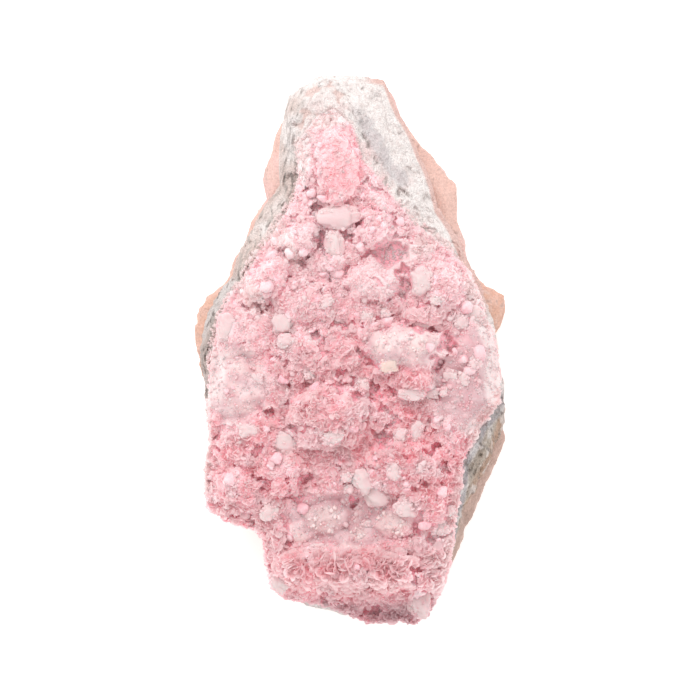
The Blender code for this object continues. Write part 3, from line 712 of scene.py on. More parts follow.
def addWallRock():
    # salmon, with patches of each other colour where a noise or a side of the rock is strong
    points, faces = closedRings(*shapeWallRock())
    x, y, z = points.T
    patch = fractalNoise(x, y, z, 9.0, 101, 4)
    fine = fractalNoise(x, y, z, 0.9, 111, 3)
    lowRight = smooth((wallRock["tanBelow"] - y) / 10.0) * smooth((x - wallRock["tanRightOf"]) / 8.0)
    lobes = smooth((wallRock["orangeBelow"] - y) / 6.0) * (1.0 - lowRight)
    tint = twoTone(wallRock, "salmon", "tan", unit(0.85 * lowRight + 0.25 * patch))
    tint = mixIn(tint, wallRock, "pink", smooth(1.6 * patch) * (1.0 - lowRight))
    tint = mixIn(tint, wallRock, "orange", 0.7 * lobes * smooth(0.7 + patch))
    tint = mixIn(tint, wallRock, "pale", smooth(0.5 * patch + 0.8 * fine - 0.1) * 0.6)
    tint = mixIn(tint, wallRock, "dark", smooth(1.9 * fine - 1.0) * 0.55)
    material = rockMaterial("hostRockSalmon", wallRock["look"])
    piece = makePiece("wallRockBody", points, faces, material, tint)
    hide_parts("wall_rock")


# Quartz vein.
quartzVein = {
    "around": 1000, "slopeRings": 44, "seam": 0.1,
    "wallRightOf": 8.0, "wallBelow": -6.0, "clumpsLeftOf": 2.0, "clumpsAbove": 36.0,
    "firstShown": 41, "sprinkled": (0.2, 1.3), "sprinkledAbove": -4.0,  # where beads may sit
    "chalk": (252, 243, 240), "speck": (204, 172, 166), "grey": (186, 176, 170),
    "dark": (118, 102, 96), "beige": (214, 186, 176), "blueGrey": (196, 190, 193),
    "blush": (236, 206, 204), "buff": (206, 190, 176), "rust": (208, 172, 150),
    "stain": (232, 188, 178),
    "look": {"roughness": 0.75, "grain": 0.28, "grainDepth": 0.30, "specks": 0.30},
}
# An open crevice down the right slope, with a smooth blue-grey strip along its right side.
crevice = [
    (-3.0, 49.5), (-0.5, 45.5), (1.3, 41.4), (3.7, 37.1), (5.8, 32.2), (10.0, 28.3), (15.0, 23.0),
]
blueStrip = [(1.2, 44.0), (3.4, 40.5), (5.6, 36.5), (7.2, 33.5), (9.5, 31.0)]


def creviceShare(x, y):
    # 1 along the crevice's bent line, 0 half a millimetre off it and where it closes
    bend = 0.5 * swirlNoise(x, y, 1.8, 153)
    line = smooth((0.45 - lineDistance(x + bend, y + bend, crevice)) / 0.4)
    return line * smooth(0.6 + 1.5 * swirlNoise(x, y, 2.5, 155))


def tipClumps(x, y):
    # sugary clumps at the left of the tip: where they are, and how high each point is on its own
    where = smooth((y - quartzVein["clumpsAbove"]) / 5.0)
    where = where * smooth((quartzVein["clumpsLeftOf"] - x) / 4.0)
    return where, domeField(x + 0.4 * swirlNoise(x, y, 1.1, 127), y, 1.9, 125)


def cragShare(x, y, z):
    # the wall at the lower right: 1 on it and 0 off it, and the noise of its crags
    wall = smooth((quartzVein["wallBelow"] - y) / 4.0) * smooth((x - quartzVein["wallRightOf"]) / 4.0)
    return wall, fractalNoise(x, y, z, 1.6, 177, 4)


def shapeQuartzVein():
    # rings out under the slab, up its broken edge, up the slope to the crust and in beneath it
    bearings = np.linspace(-math.pi, math.pi, quartzVein["around"], endpoint=False)
    c, s = np.cos(bearings), np.sin(bearings)
    edge = reach(outlines["vein"], bearings)
    crustEdge = reach(outlines["crust"], bearings)
    rise = smooth((edge - crustEdge - 1.0) / 1.6)
    recess = np.minimum(crustEdge - 0.4, edge - 0.8)

    def under(radius):
        return wallRockTop(radius * c, radius * s) + quartzVein["seam"]

    def floor(radius):
        return veinTop(radius * c, radius * s)

    rimHeight = crustForm(crustEdge * 0.985 * c, crustEdge * 0.985 * s) - 0.5
    lip = floor(recess) + rise * (rimHeight - floor(recess))
    outer = under(edge) + 0.5 + 0.62 * (floor(edge) - under(edge))
    steps = quartzVein["slopeRings"]
    profile = [
        (0.5 * edge, under(0.5 * edge), 3), (edge - 1.1, under(edge - 1.1), 5),
        (edge - 0.1, under(edge) + 0.5, 9), (edge, outer, steps), (recess, lip, 5),
        (recess - 0.8, floor(recess) + 0.3, 3), (0.4 * edge, floor(0.4 * edge), 1),
    ]
    r, z = ringsBetween(profile)
    swell = np.zeros(r.shape)  # the slope bulges, most of all half way up
    lowest = sum(row[2] for row in profile[:3])
    swell[lowest:lowest + steps] = rise * np.sin(math.pi * (np.arange(steps) / steps))[:, None]
    x, y = r * c, r * s
    shown = smooth((r - recess + 1.0) / 0.8)
    lumps = 0.9 * fractalNoise(x, y, z, 6.0, 121, 3) + 0.7 * fractalNoise(x, y, z, 2.4, 123, 2)
    where, clump = tipClumps(x, y)
    lumps = lumps * swell + 1.1 * where * clump * smooth(2.0 * swell)
    first, second, mark = cellDistances(x, y, z, 2.2, 131)
    chips = 0.35 * (mark - 0.5) * smooth((second - first) / 0.2)
    wall, crag = cragShare(x, y, z)
    sugar = 0.22 * fractalNoise(x, y, z, 0.9, 141, 3) + 0.45 * wall * crag
    pits = -0.7 * smooth((fractalNoise(x, y, z, 2.4, 151, 3) - 0.35) / 0.25)
    pits = pits - 0.4 * creviceShare(x, y)
    rough = shown * (chips + sugar + pits * smooth(2.0 * swell))
    steep = 1.0 - smooth(2.5 * swell)
    r = r + steep * shown * (chips + sugar)
    z = z + swell + lumps + (1.0 - steep) * rough
    return r * c, r * s, z


def veinColours(x, y, z, out, width):
    # chalky white, specked and blushed near the crust, with a layer of tint for each zone:
    # a noise or a distance, made a soft step, is how much of the layer shows
    across = unit(out / width)  # 0 at the crust, 1 at the outside
    right = smooth((x + 4.0) / 6.0)  # 0 on the left band, 1 on the right slope
    left = smooth((-7.0 - x) / 4.0)
    wall, crag = cragShare(x, y, z)
    along = x * (-0.31 + 0.76 * right) - y * (0.95 - 0.06 * right)
    wave = x * (0.95 - 0.06 * right) + y * (0.45 * right - 0.31 * (1 - right))
    wave = wave + 0.8 * swirlNoise(x, y, 3.5, 162)
    longStreak = swirlNoise(along / 4.5, wave / 0.8, 1.0, 161)
    fineStreak = swirlNoise(along / 1.8, wave / 0.36, 1.0, 163)
    patch = fractalNoise(x, y, z, 5.0, 171, 4)
    speck = fractalNoise(x, y, z, 0.55, 173, 2)
    tint = twoTone(quartzVein, "chalk", "speck", 0.26 * smooth((speck + 0.6 * fineStreak - 0.10) / 0.35))
    blush = smooth(fractalNoise(x, y, z, 3.0, 181, 3) + 0.2) * smooth((0.7 - across) / 0.5)
    bend = swirlNoise(x, y, 1.8, 153)
    strip = smooth((1.7 - lineDistance(x + bend, y, blueStrip)) / 0.9) * smooth(0.9 + patch)
    strip = np.maximum(strip, wall * smooth((1.8 - out) / 0.6))
    outside = wall * smooth((out - 1.2) / 0.8)
    where, clump = tipClumps(x, y)
    grey = smooth((0.7 * longStreak + 0.55 * fineStreak + 0.3 * patch - 0.05) / 0.3)
    dark = smooth((0.6 * longStreak + 0.4 * fineStreak + 0.6 * speck - 0.42) / 0.2)
    near = smooth((2.2 - lineDistance(x, y, crevice)) / 1.5)
    line = creviceShare(x, y) * smooth(0.3 + 1.5 * speck)
    rim = smooth((out - width + 1.3 + 0.4 * patch) / 0.5) * smooth((x - 2.0) / 3.0)
    rim = rim * (1.0 - left) * smooth((y - 5.0) / 6.0)
    for name, share in (
        ("blush", 0.6 * blush * (1 - wall)),
        ("beige", 0.7 * left * smooth(0.6 + patch)),
        ("blueGrey", (0.5 + 0.4 * wall) * strip),
        ("buff", outside),
        ("stain", 0.55 * where * smooth((0.35 - clump) / 0.3)),
        ("rust", outside * smooth((across - 0.55) / 0.3 + patch)),
        ("chalk", 0.6 * wall * smooth((crag - 0.12) / 0.3)),
        ("dark", 0.5 * wall * smooth(1.0 - 9.0 * np.abs(crag))),
        ("grey", grey * (0.05 + 0.55 * left + 0.35 * wall)),
        # painted shade: the open crevice is darkened along its line, and the streaks beside it more
        ("dark", dark * (0.10 + 0.55 * left + 0.5 * wall + 0.25 * near)),
        ("dark", 0.55 * line),
        ("stain", 0.85 * rim),
    ):
        tint = mixIn(tint, quartzVein, name, share)
    shade = 0.12 * wall * smooth(across / 0.4) + 0.02 * left + 0.22 * left * smooth((18.0 - y) / 8.0)
    return tint * (1.0 - shade)[:, None]


def addQuartzVein():
    # the slab with its colours; returns places on it close to the crust, each with an upward
    # direction
    points, faces = closedRings(*shapeQuartzVein())
    x, y, z = points.T
    bearings = np.arctan2(y, x)
    crustEdge = reach(outlines["crust"], bearings)
    out = np.hypot(x, y) - crustEdge
    width = np.maximum(reach(outlines["vein"], bearings) - crustEdge, 0.5)
    material = rockMaterial("veinQuartzChalk", quartzVein["look"])
    tint = veinColours(x, y, z, out, width)
    piece = makePiece("quartzVeinBody", points, faces, material, tint)
    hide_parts("quartz_vein")
    nearest, furthest = quartzVein["sprinkled"]
    onSlope = (out > nearest) & (out < furthest) & (y > quartzVein["sprinkledAbove"])
    onSlope[:quartzVein["firstShown"] * quartzVein["around"]] = False
    near = points[onSlope]
    return np.stack([near, np.tile([0.0, 0.0, 1.0], (len(near), 1))], 1)


# Crystal crust: the ground that everything grows on.
crustGround = {
    "columns": 220, "rows": 380, "wallRings": 7, "seam": 0.1,
    "corner": (14.2, -48.3), "rimSteps": 1440,  # where the grid's lower right corner goes
    # groove, rosyGroove and apexDeep are painted shade for low ground, crest, rosyCrest and apex painted
    # light for crests; mauve and rosyMauve are painted shade in gaps; groove also streaks the broken rim
    "groove": (255, 190, 202), "crest": (252, 222, 224), "rosyGroove": (255, 176, 190),
    "rosyCrest": (252, 206, 212), "mauve": (242, 178, 188), "rosyMauve": (255, 172, 186),
    "frost": (238, 210, 209), "frostShade": (212, 174, 178), "broken": (250, 224, 222),
    "lump": (236, 214, 211), "apex": (255, 208, 211), "apexDeep": (255, 168, 179),
    "palest": (255, 243, 244), "chalky": (248, 236, 234), "palerAbove": -10.0,
    # painted shade: how much darker the foot is made, as it faces away from the light
    "footShade": (0.14, 0.24, 0.22), "footBelow": -43.0,
    "look": {"roughness": 0.5, "glow": 0.6, "glowReach": 0.5, "grain": 0.25, "grainDepth": 0.06},
}


def crustColours(x, y):
    # rose grooves and pale crests by how open the ground is, as painted shade in the creases and
    # painted light on the crests; mauve in the gaps and hollows as painted shade; milky where it
    # is frosted, greyer in its low places as painted shade
    gap = crustSkin(x, y)[2]
    rosy = unit(0.8 * spotShare(x, y, rosySpots) + 0.2 * swirlNoise(x, y, 3.5, 191))
    groove = twoTone(crustGround, "groove", "rosyGroove", rosy)
    pale = twoTone(crustGround, "crest", "rosyCrest", rosy)
    # painted shade and light: low places take the groove colours, high ones the crest colours
    rise = openness(x, y, crustTop(x, y))
    light = unit(0.5 + 0.35 * np.tanh(rise / 0.3) + 0.2 * swirlNoise(x, y, 2.4, 192))
    tint = blendColours(groove, pale, light)
    # painted shade and light: frosted ground is greyer where it lies low and in the listed shaded spots,
    # paler where it rises
    milky = 0.5 + 0.5 * swirlNoise(x, y, 2.2, 193) + 0.8 * rise - 0.6 * spotShare(x, y, frostShadeSpots)
    milk = twoTone(crustGround, "frostShade", "frost", smooth(milky))
    tint = blendColours(tint, milk, unit(1.15 * spotShare(x, y, frostedSpots)))
    lump = np.max([smooth(1.3 - inside(x, y, feature)) for feature in sugarLumps], 0)
    tint = mixIn(tint, crustGround, "lump", 0.6 * lump)
    # painted shade and light at the tip: deeper rose low down, paler high up
    bright = twoTone(crustGround, "apexDeep", "apex", light)
    tint = blendColours(tint, bright, unit(1.2 * spotShare(x, y, calmSpots)))
    # painted shade: gaps and voids are blended towards the darker mauve colours
    mauve = twoTone(crustGround, "mauve", "rosyMauve", smooth(0.4 + 0.9 * swirlNoise(x, y, 1.2, 195)))
    return zoneTint(blendColours(tint, mauve, 0.9 * gap), x, y, 0.35)


def zoneTint(tint, x, y, strength=1.0):
    # crystals get paler towards the tip and in milky patches; down the foot, which faces away from the
    # light, painted shade darkens them
    milky = 0.6 * smooth((swirlNoise(x, y, 4.6, 197) + 0.5 * swirlNoise(x, y, 2.1, 198) - 0.05) / 0.4)
    paler = np.maximum(0.5 * smooth((y - crustGround["palerAbove"]) / 28.0), milky)
    tint = mixIn(tint, crustGround, "palest", strength * paler)
    tint = mixIn(tint, crustGround, "chalky", 0.7 * spotShare(x, y, chalkySpots))
    # painted shade on the foot
    foot = smooth((crustGround["footBelow"] - y) / 5.0)[..., None]
    return tint * (1.0 - np.array(crustGround["footShade"]) * foot)


def bentGrid(columns, rows, outline):
    # a rectangle's grid bent onto an outline: how far round and how far out each point lies,
    # with the rim's points spaced evenly, so the cells stay even and there is no pole
    a, b = np.meshgrid(np.linspace(-1, 1, columns + 1), np.linspace(-1, 1, rows + 1))
    out = np.maximum(np.abs(a), np.abs(b))
    across, along = a / np.maximum(out, 1e-9), b / np.maximum(out, 1e-9)
    half = columns + rows
    sides = np.where(a > 0, (along + 1) / 2 * rows, (1 - along) / 2 * rows + half)
    ends = np.where(b > 0, (1 - across) / 2 * columns + rows, (across + 1) / 2 * columns + rows + half)
    steps = np.where(np.abs(a) >= np.abs(b), sides, ends) / (2 * half) % 1.0
    cornerX, cornerY = crustGround["corner"]
    start = math.atan2(cornerY, cornerX)
    bearings = np.linspace(start, start + 2 * math.pi, crustGround["rimSteps"] + 1)
    radii = reach(outline, bearings)
    rimX, rimY = radii * np.cos(bearings), radii * np.sin(bearings)
    travelled = np.concatenate([[0.0], np.cumsum(np.hypot(np.diff(rimX), np.diff(rimY)))])
    travelled /= travelled[-1]
    return out * np.interp(steps, travelled, rimX), out * np.interp(steps, travelled, rimY)


def addCrustGround():
    # the upper face on a bent grid, then rings down its broken rim and in under it;
    # returns places on the rim, each with an outward direction
    x, y = bentGrid(crustGround["columns"], crustGround["rows"], outlines["crust"])
    index = np.arange(x.size).reshape(x.shape)
    quads = np.stack([index[:-1, :-1], index[:-1, 1:], index[1:, 1:], index[1:, :-1]], -1)
    points = [onCrust(x, y).reshape(-1, 3)]
    rim = np.concatenate([index[:-1, -1], index[-1, :0:-1], index[:0:-1, 0], index[0, :-1]])
    rimX, rimY, rimZ = points[0][rim].T
    low = veinTop(rimX, rimY) + crustGround["seam"]
    faces, above, first = [quads.reshape(-1, 4)], rim, x.size
    wallRings = crustGround["wallRings"]
    for ring in range(1, wallRings + 3):
        share = min(ring / wallRings, 1.0)
        inwards = 1.0 if ring <= wallRings else (0.7, 0.05)[ring - wallRings - 1]
        ringZ = rimZ * (1 - share) + low * share
        ragged = 0.6 * fractalNoise(rimX, rimY, ringZ, 1.6, 201, 3) - 0.25
        ragged = ragged * math.sin(math.pi * share) / np.hypot(rimX, rimY)
        ringX, ringY = rimX * inwards * (1 + ragged), rimY * inwards * (1 + ragged)
        if ring > wallRings:
            ringZ = veinTop(ringX, ringY) + crustGround["seam"]
        points.append(np.stack([ringX, ringY, ringZ], -1))
        below = first + np.arange(len(rim))
        faces.append(np.stack([below, np.roll(below, -1), np.roll(above, -1), above], -1))
        above, first = below, first + len(rim)
    quads = np.vstack(faces)
    fan = np.stack([np.roll(above, -1), above, np.full(len(above), first)], -1)
    triangles = np.vstack([quads[:, [0, 1, 2]], quads[:, [0, 2, 3]], fan])
    pole = [[0.0, 0.0, layers["veinTop"] + crustGround["seam"]]]
    points = np.vstack([*points, pole])
    px, py, pz = points.T
    below = smooth((crustTop(px, py) - 0.4 - pz) / 0.6)  # the broken rim
    streak = smooth(0.5 + 0.8 * fractalNoise(px, py, 0.35 * pz, 0.9, 203, 3))
    broken = twoTone(crustGround, "groove", "broken", streak)
    tint = blendColours(crustColours(px, py), broken, 0.9 * below)
    material = crystalMaterial("rhodochrositeGround", crustGround["look"])
    piece = makePiece("crustGround", points, triangles, material, tint)
    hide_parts("rhodochrosite_crust")
    wall = points[x.size:x.size + (wallRings - 1) * len(rim)]
    away = np.stack([wall[:, 0], wall[:, 1], 0.35 * np.hypot(wall[:, 0], wall[:, 1])], -1)
    return np.stack([wall, away / np.linalg.norm(away, axis=-1, keepdims=True)], 1)


# Where crystals stand, and which way.
scatterField = {"left": -30.0, "width": 60, "bottom": -51.0, "length": 100, "rowShare": 0.87}


def onCrust(x, y):
    # places on the crust's upper face
    return np.stack([x, y, crustTop(x, y)], -1)


def scatterPlaces(spacing, seed, limit=1.0):
    # staggered rows of places over the crust, each moved a little at random
    draw = np.random.default_rng(seed)
    apart = scatterField["rowShare"] * spacing
    rowCount, columnCount = int(scatterField["length"] / apart), int(scatterField["width"] / spacing)
    rows, columns = np.mgrid[0:rowCount, 0:columnCount]
    x = (columns + 0.5 * (rows % 2)) * spacing + scatterField["left"]
    x = (x + draw.uniform(-0.45, 0.45, rows.shape) * spacing).ravel()
    y = rows * scatterField["rowShare"] * spacing + scatterField["bottom"]
    y = (y + draw.uniform(-0.45, 0.45, rows.shape) * spacing).ravel()
    keep = wayOut(x, y) < limit
    return x[keep], y[keep], draw


def clearOfKnobs(x, y, margin=0.55):
    # true where a place is outside every knob's outline, drawn in by the margin
    return np.min([inside(x, y, knob) for knob in knobs], 0) > margin


def framesFrom(normal, heading, lean, size):
    # 3x3 frames: length along the heading, height along the leaned normal, thickness across
    flat = np.stack([np.cos(heading), np.sin(heading), 0 * heading], -1)
    length = flat - normal * np.sum(flat * normal, -1, keepdims=True)
    length /= np.linalg.norm(length, axis=-1, keepdims=True)
    across = np.cross(length, normal)
    height = normal * np.cos(lean)[:, None] + across * np.sin(lean)[:, None]
    thickness = np.cross(length, height)
    return np.stack([length * size[:, 0:1], height * size[:, 1:2], thickness * size[:, 2:3]], -1)


# Bladed crystals.
blades = {
    "spacing": 0.34, "seed": 3, "pieces": 2, "rimShare": 0.9, "rimJitter": 0.15, "turnSpread": 0.45,
    "length": 0.43, "height": 0.41, "lean": (0.5, 1.3),
    # root colours are painted shade, tip colours painted light, body colours between
    "root": (255, 184, 195), "body": (255, 231, 234), "tip": (255, 242, 242),
    "rosyRoot": (255, 168, 181), "rosyBody": (255, 213, 218), "rosyTip": (255, 236, 237),
    "look": {"roughness": 0.42, "through": 0.6, "grain": 0.2, "grainDepth": 0.02},
}
bladeOutline = np.array([(-0.55, -0.9), (-1.0, -0.1), (-0.8, 0.62), (-0.25, 1.0),
                         (0.35, 0.86), (0.85, 0.5), (1.0, -0.2), (0.5, -0.95)])


def bladeShape():
    # a thin rounded plate: eight outline points and a raised middle, cupped along and across
    u, v = bladeOutline.T
    rim = np.stack([u, v, -0.30 * u * u - 0.22 * v * v], -1)
    points = np.vstack([rim, [(0.0, 0.1, 0.06)]])
    i = np.arange(8)
    faces = np.stack([(i + 1) % 8, i, np.full(8, 8)], -1)
    return points, faces


def bladeTint(x, y, corners, up, rimmed, paler):
    # root, body or tip colour by how far up its plate a corner is and how open its place: painted
    # shade makes roots and crystals down in the creases rosier and darker, painted light makes tips
    # and crystals on the crests paler; on the rim a noise stands for the openness
    places = np.moveaxis(corners, -1, 0)
    rise = np.where(rimmed[:, None] > 0, 0.4 * fractalNoise(*places, 1.3, 227, 2), openness(*places))
    shade = unit(0.3 + 0.32 * up[None, :] + 0.35 * np.tanh(rise / 0.5) + paler[:, None])
    rosy = 0.8 * spotShare(x, y, rosySpots)[:, None]
    root = twoTone(blades, "root", "rosyRoot", rosy)
    body = twoTone(blades, "body", "rosyBody", rosy)
    tip = twoTone(blades, "tip", "rosyTip", rosy)
    low, high = blendColours(root, body, 2 * shade), blendColours(body, tip, 2 * shade - 1)
    return zoneTint(np.where((shade < 0.5)[..., None], low, high), x[:, None], y[:, None])


def addBlades(rimSkin):
    # plates rooted in the ground, leaning over each other, in directions that wind from clump to
    # clump, and smaller ones standing out of the broken rim
    x, y, draw = scatterPlaces(blades["spacing"], blades["seed"])
    frost = spotShare(x, y, frostedSpots)
    _, crest, gap = crustSkin(x, y)
    chance = (1.0 - 1.1 * frost) * (1.0 - 0.72 * sugarShare(x, y))
    chance = chance * (1.0 - 0.7 * spotShare(x, y, calmSpots)) * (1.0 - 0.8 * smooth(3.0 * gap))
    keep = clearOfKnobs(x, y) & (draw.uniform(0, 1, len(x)) < chance)
    x, y, frost, crest = x[keep], y[keep], frost[keep], crest[keep]
    onRim = rimSkin[draw.uniform(0, 1, len(rimSkin)) < blades["rimShare"]]
    jitter = draw.normal(0, blades["rimJitter"], (len(onRim), 3))
    place = np.vstack([onCrust(x, y), onRim[:, 0] + jitter - 0.15 * onRim[:, 1]])
    normal = np.vstack([crustNormal(x, y, 0.35), onRim[:, 1]])
    rimmed = np.append(np.zeros(len(x)), np.ones(len(onRim)))  # 1 for those on the rim
    frost = np.append(frost, np.zeros(len(onRim)))
    crest = np.append(crest, np.full(len(onRim), 0.5))
    x, y = place[:, 0], place[:, 1]
    count = len(x)
    heading = crestHeading(x, y) + draw.normal(0, blades["turnSpread"], count)
    standing = crest + draw.uniform(-0.25, 0.25, count) > 0.6  # upright on a crest, leaning beside it
    lean = np.where(standing, draw.uniform(-0.5, 0.5, count), draw.uniform(*blades["lean"], count))
    vigour = 0.7 + 0.6 * draw.uniform(0, 1, count) ** 2 + 0.3 * swirlNoise(x, y, 5.0, 221)
    vigour *= (1.0 - 0.45 * frost) * (1.0 + 0.45 * spotShare(x, y, flakySpots)) * (1.0 - 0.2 * rimmed)
    length = blades["length"] * vigour * draw.uniform(0.5, 1.4, count)
    height = blades["height"] * vigour * draw.uniform(0.8, 1.15, count)
    frames = framesFrom(normal, heading, lean, np.stack([length, height, 0.5 * (length + height)], -1))
    shape, faces = bladeShape()
    corners = copyCorners(shape, frames, place + (0.75 - 0.25 * rimmed)[:, None] * frames[:, :, 1])
    up = unit(shape[:, 1] * 0.5 + 0.5)  # 0 at a blade's root, 1 at its tip
    paler = 0.12 * draw.uniform(-1, 1, count) + 0.12 * swirlNoise(x, y, 2.6, 225) + 0.2 * frost
    tint = bladeTint(x, y, corners, up, rimmed, paler)
    material = crystalMaterial("rhodochrositeBlades", blades["look"])
    parts = np.array_split(draw.permutation(count), blades["pieces"])
    for number, part in enumerate(parts):
        addCopies(f"blades{number + 1}", material, corners[part], faces, tint[part])


# Milky knobs.
milkyKnobs = {
    "around": 40, "up": 26, "heightShare": 0.68, "sink": -0.05, "lumpiness": 0.36, "blockiness": 0.8,
    "milk": (226, 207, 206), "blush": (230, 196, 199), "rooted": (240, 176, 184),
    "cream": (232, 208, 196), "creamKnob": 8,  # the one that is stained
    "look": {"roughness": 0.6, "glow": 0.7, "glowReach": 0.9, "grain": 0.22, "grainDepth": 0.05},
}


def addMilkyKnobs():
    # balls from a longitude-latitude grid lying on its side, stretched to each knob and swollen
    # by noise; returns a place and an outward direction for the points of their upper halves
    lat, lon = ballGrid(milkyKnobs["around"], milkyKnobs["up"])
    ball = np.stack([np.sin(lat), np.cos(lat) * np.cos(lon), np.cos(lat) * np.sin(lon)], -1)
    block = np.sign(ball) * np.abs(ball) ** milkyKnobs["blockiness"]  # squarer than a ball
    points, faces, tints, skins, first = [], [], [], [], 0
    for number, (kx, ky, halfWidth, halfLength, turn) in enumerate(knobs):
        halfHeight = milkyKnobs["heightShare"] * min(halfWidth, halfLength)
        bx, by, bz = (ball * 1.4 + 7.1 * number).transpose(2, 0, 1)
        cells, _, _ = cellDistances(bx, by, bz, 0.9, 231)
        swell = 1.0 + milkyKnobs["lumpiness"] * fractalNoise(bx, by, bz, 1.0, 241, 3)
        swell += 0.04 - 0.09 * cells**2 + 0.02 * fractalNoise(bx, by, bz, 0.18, 251, 2)
        swell += 0.07 * domeField(bx + 0.6 * bz, by - 0.4 * bz, 0.45, 253)
        body = block * swell[..., None] * np.array([halfWidth, halfLength, halfHeight])
        c, s = math.cos(math.radians(turn)), math.sin(math.radians(turn))
        px = kx + body[..., 0] * c - body[..., 1] * s
        py = ky + body[..., 0] * s + body[..., 1] * c
        base = float(crustTop(np.array([kx]), np.array([ky]))[0])
        pz = base + milkyKnobs["sink"] * halfHeight + body[..., 2]
        knobPoints, knobFaces = closedRings(px, py, pz)
        points.append(knobPoints)
        faces.append(knobFaces + first)
        first += len(knobPoints)
        away = knobPoints - np.array([kx, ky, base])
        skins.append(np.stack([knobPoints, away], 1)[away[:, 2] > 0.3 * halfHeight])
        share = unit(0.35 + 0.5 * fractalNoise(*knobPoints.T, 1.6, 261, 3))
        tint = twoTone(milkyKnobs, "milk", "blush", share)
        if number == milkyKnobs["creamKnob"]:
            tint = mixIn(tint, milkyKnobs, "cream", 0.7)
        low = smooth(0.5 - (knobPoints[:, 2] - base) / halfHeight)  # rosier down where it is grown in
        tints.append(mixIn(tint, milkyKnobs, "rooted", low))
    material = crystalMaterial("milkyQuartz", milkyKnobs["look"])
    makePiece("milkyKnobs", np.vstack(points), np.vstack(faces), material,
              np.vstack(tints))
    return np.vstack(skins)


# Small pale balls and druse.
beads = {
    "spacing": 0.42, "seed": 8, "radius": (0.15, 0.34), "large": 0.65, "largeShare": 0.03,
    "knobShare": 0.03, "veinShare": 0.10,
    # foot is painted shade at a cap's foot; top and blushTop are painted light on its top
    "foot": (255, 190, 199), "top": (255, 244, 243), "blushTop": (255, 227, 230),
    "look": {"roughness": 0.38, "through": 0.45, "grain": 0.15, "grainDepth": 0.02},
}


def beadShape():
    # an open cap: six points round, six smaller and turned above them, and one on top
    around = np.arange(6) * math.pi / 3
    low = np.stack([np.cos(around), np.full(6, -0.45), np.sin(around)], -1)
    high = np.stack([0.72 * np.cos(around + 0.5), np.full(6, 0.55), 0.72 * np.sin(around + 0.5)], -1)
    i = np.arange(6)
    j = (i + 1) % 6
    faces = np.vstack([np.stack([j, i, i + 6], -1), np.stack([j, i + 6, j + 6], -1),
                       np.stack([j + 6, i + 6, np.full(6, 12)], -1)])
    return np.vstack([low, high, [(0.0, 1.0, 0.0)]]), faces


def addBeads(knobSkin, veinSkin):
    # caps packed side by side where the crust is sugary, dotted over the knobs and sprinkled on
    # the vein beside the crust
    x, y, draw = scatterPlaces(beads["spacing"], beads["seed"])
    gap = crustSkin(x, y)[2]
    chance = 0.08 + 0.55 * sugarShare(x, y) * (1.0 - spotShare(x, y, frostedSpots))
    chance = np.maximum(chance, 0.4 * gap)
    keep = (draw.uniform(0, 1, len(x)) < chance) & clearOfKnobs(x, y)
    x, y, gap = x[keep], y[keep], gap[keep]
    onKnobs = knobSkin[draw.uniform(0, 1, len(knobSkin)) < beads["knobShare"]]
    onVein = veinSkin[draw.uniform(0, 1, len(veinSkin)) < beads["veinShare"]]
    others = np.vstack([onKnobs, onVein])
    others[:, 0, :2] += draw.normal(0, 0.12, (len(others), 2))
    place = np.vstack([onCrust(x, y), others[:, 0]])
    outward = others[:, 1] / np.linalg.norm(others[:, 1], axis=-1, keepdims=True)
    normal = np.vstack([crustNormal(x, y, 0.35), outward])
    gap = np.append(gap, np.zeros(len(others)))
    x, y = place[:, 0], place[:, 1]
    count = len(x)
    small, large = beads["radius"]
    radius = small + (large - small) * draw.uniform(0, 1, count)
    isLarge = draw.uniform(0, 1, count) < beads["largeShare"]
    radius = np.where(isLarge, draw.uniform(large, beads["large"], count), radius)
    stretch = radius[:, None] * draw.uniform(0.8, 1.25, (count, 3))
    frames = framesFrom(normal, draw.uniform(0, 6.28, count), draw.normal(0, 0.3, count), stretch)
    shape, faces = beadShape()
    corners = copyCorners(shape, frames, place + 0.2 * frames[:, :, 1])
    blush = unit(0.5 + 0.8 * swirlNoise(x, y, 3.0, 275) + 0.2 * draw.normal(0, 1, count))
    top = twoTone(beads, "top", "blushTop", blush[:, None])
    # painted shade and light: a cap's foot and caps down in creases are darker and rosier, its top and
    # caps on crests paler; caps in gaps are darkened further as painted shade
    up = unit(0.5 * shape[:, 1] + 0.5)
    rise = openness(*np.moveaxis(corners, -1, 0))
    shade = unit(0.25 + 0.5 * up[None] + 0.4 * np.tanh(rise / 0.5))
    tint = blendColours(sinceGrey(*beads["foot"]), top, shade)
    tint = zoneTint(tint, x[:, None], y[:, None]) * (1.0 - 0.15 * gap[:, None, None])
    sprinkled = np.arange(count) >= count - len(onVein)
    tint = mixIn(tint, quartzVein, "chalk", 0.6 * sprinkled[:, None])
    material = crystalMaterial("sugaryBeads", beads["look"])
    addCopies("sugaryBeads", material, corners, faces, tint)


nodules = {
    "around": 14, "up": 9, "spacing": 1.9, "seed": 9, "radius": (0.35, 1.15),
    "lumpSpacing": 0.75, "lumpSeed": 14, "lumpRadius": 0.40, "lumpShare": 0.45,
    # low and frostyLow are painted shade on a ball's underside; top, blushTop and frostyTop painted light
    # on its top
    "low": (244, 180, 190), "top": (242, 212, 215), "blushTop": (244, 196, 203),
    "frostyLow": (234, 202, 203), "frostyTop": (242, 219, 217),
    "look": {"roughness": 0.65, "glow": 0.6, "glowReach": 0.35, "grain": 0.25, "grainDepth": 0.08},
}


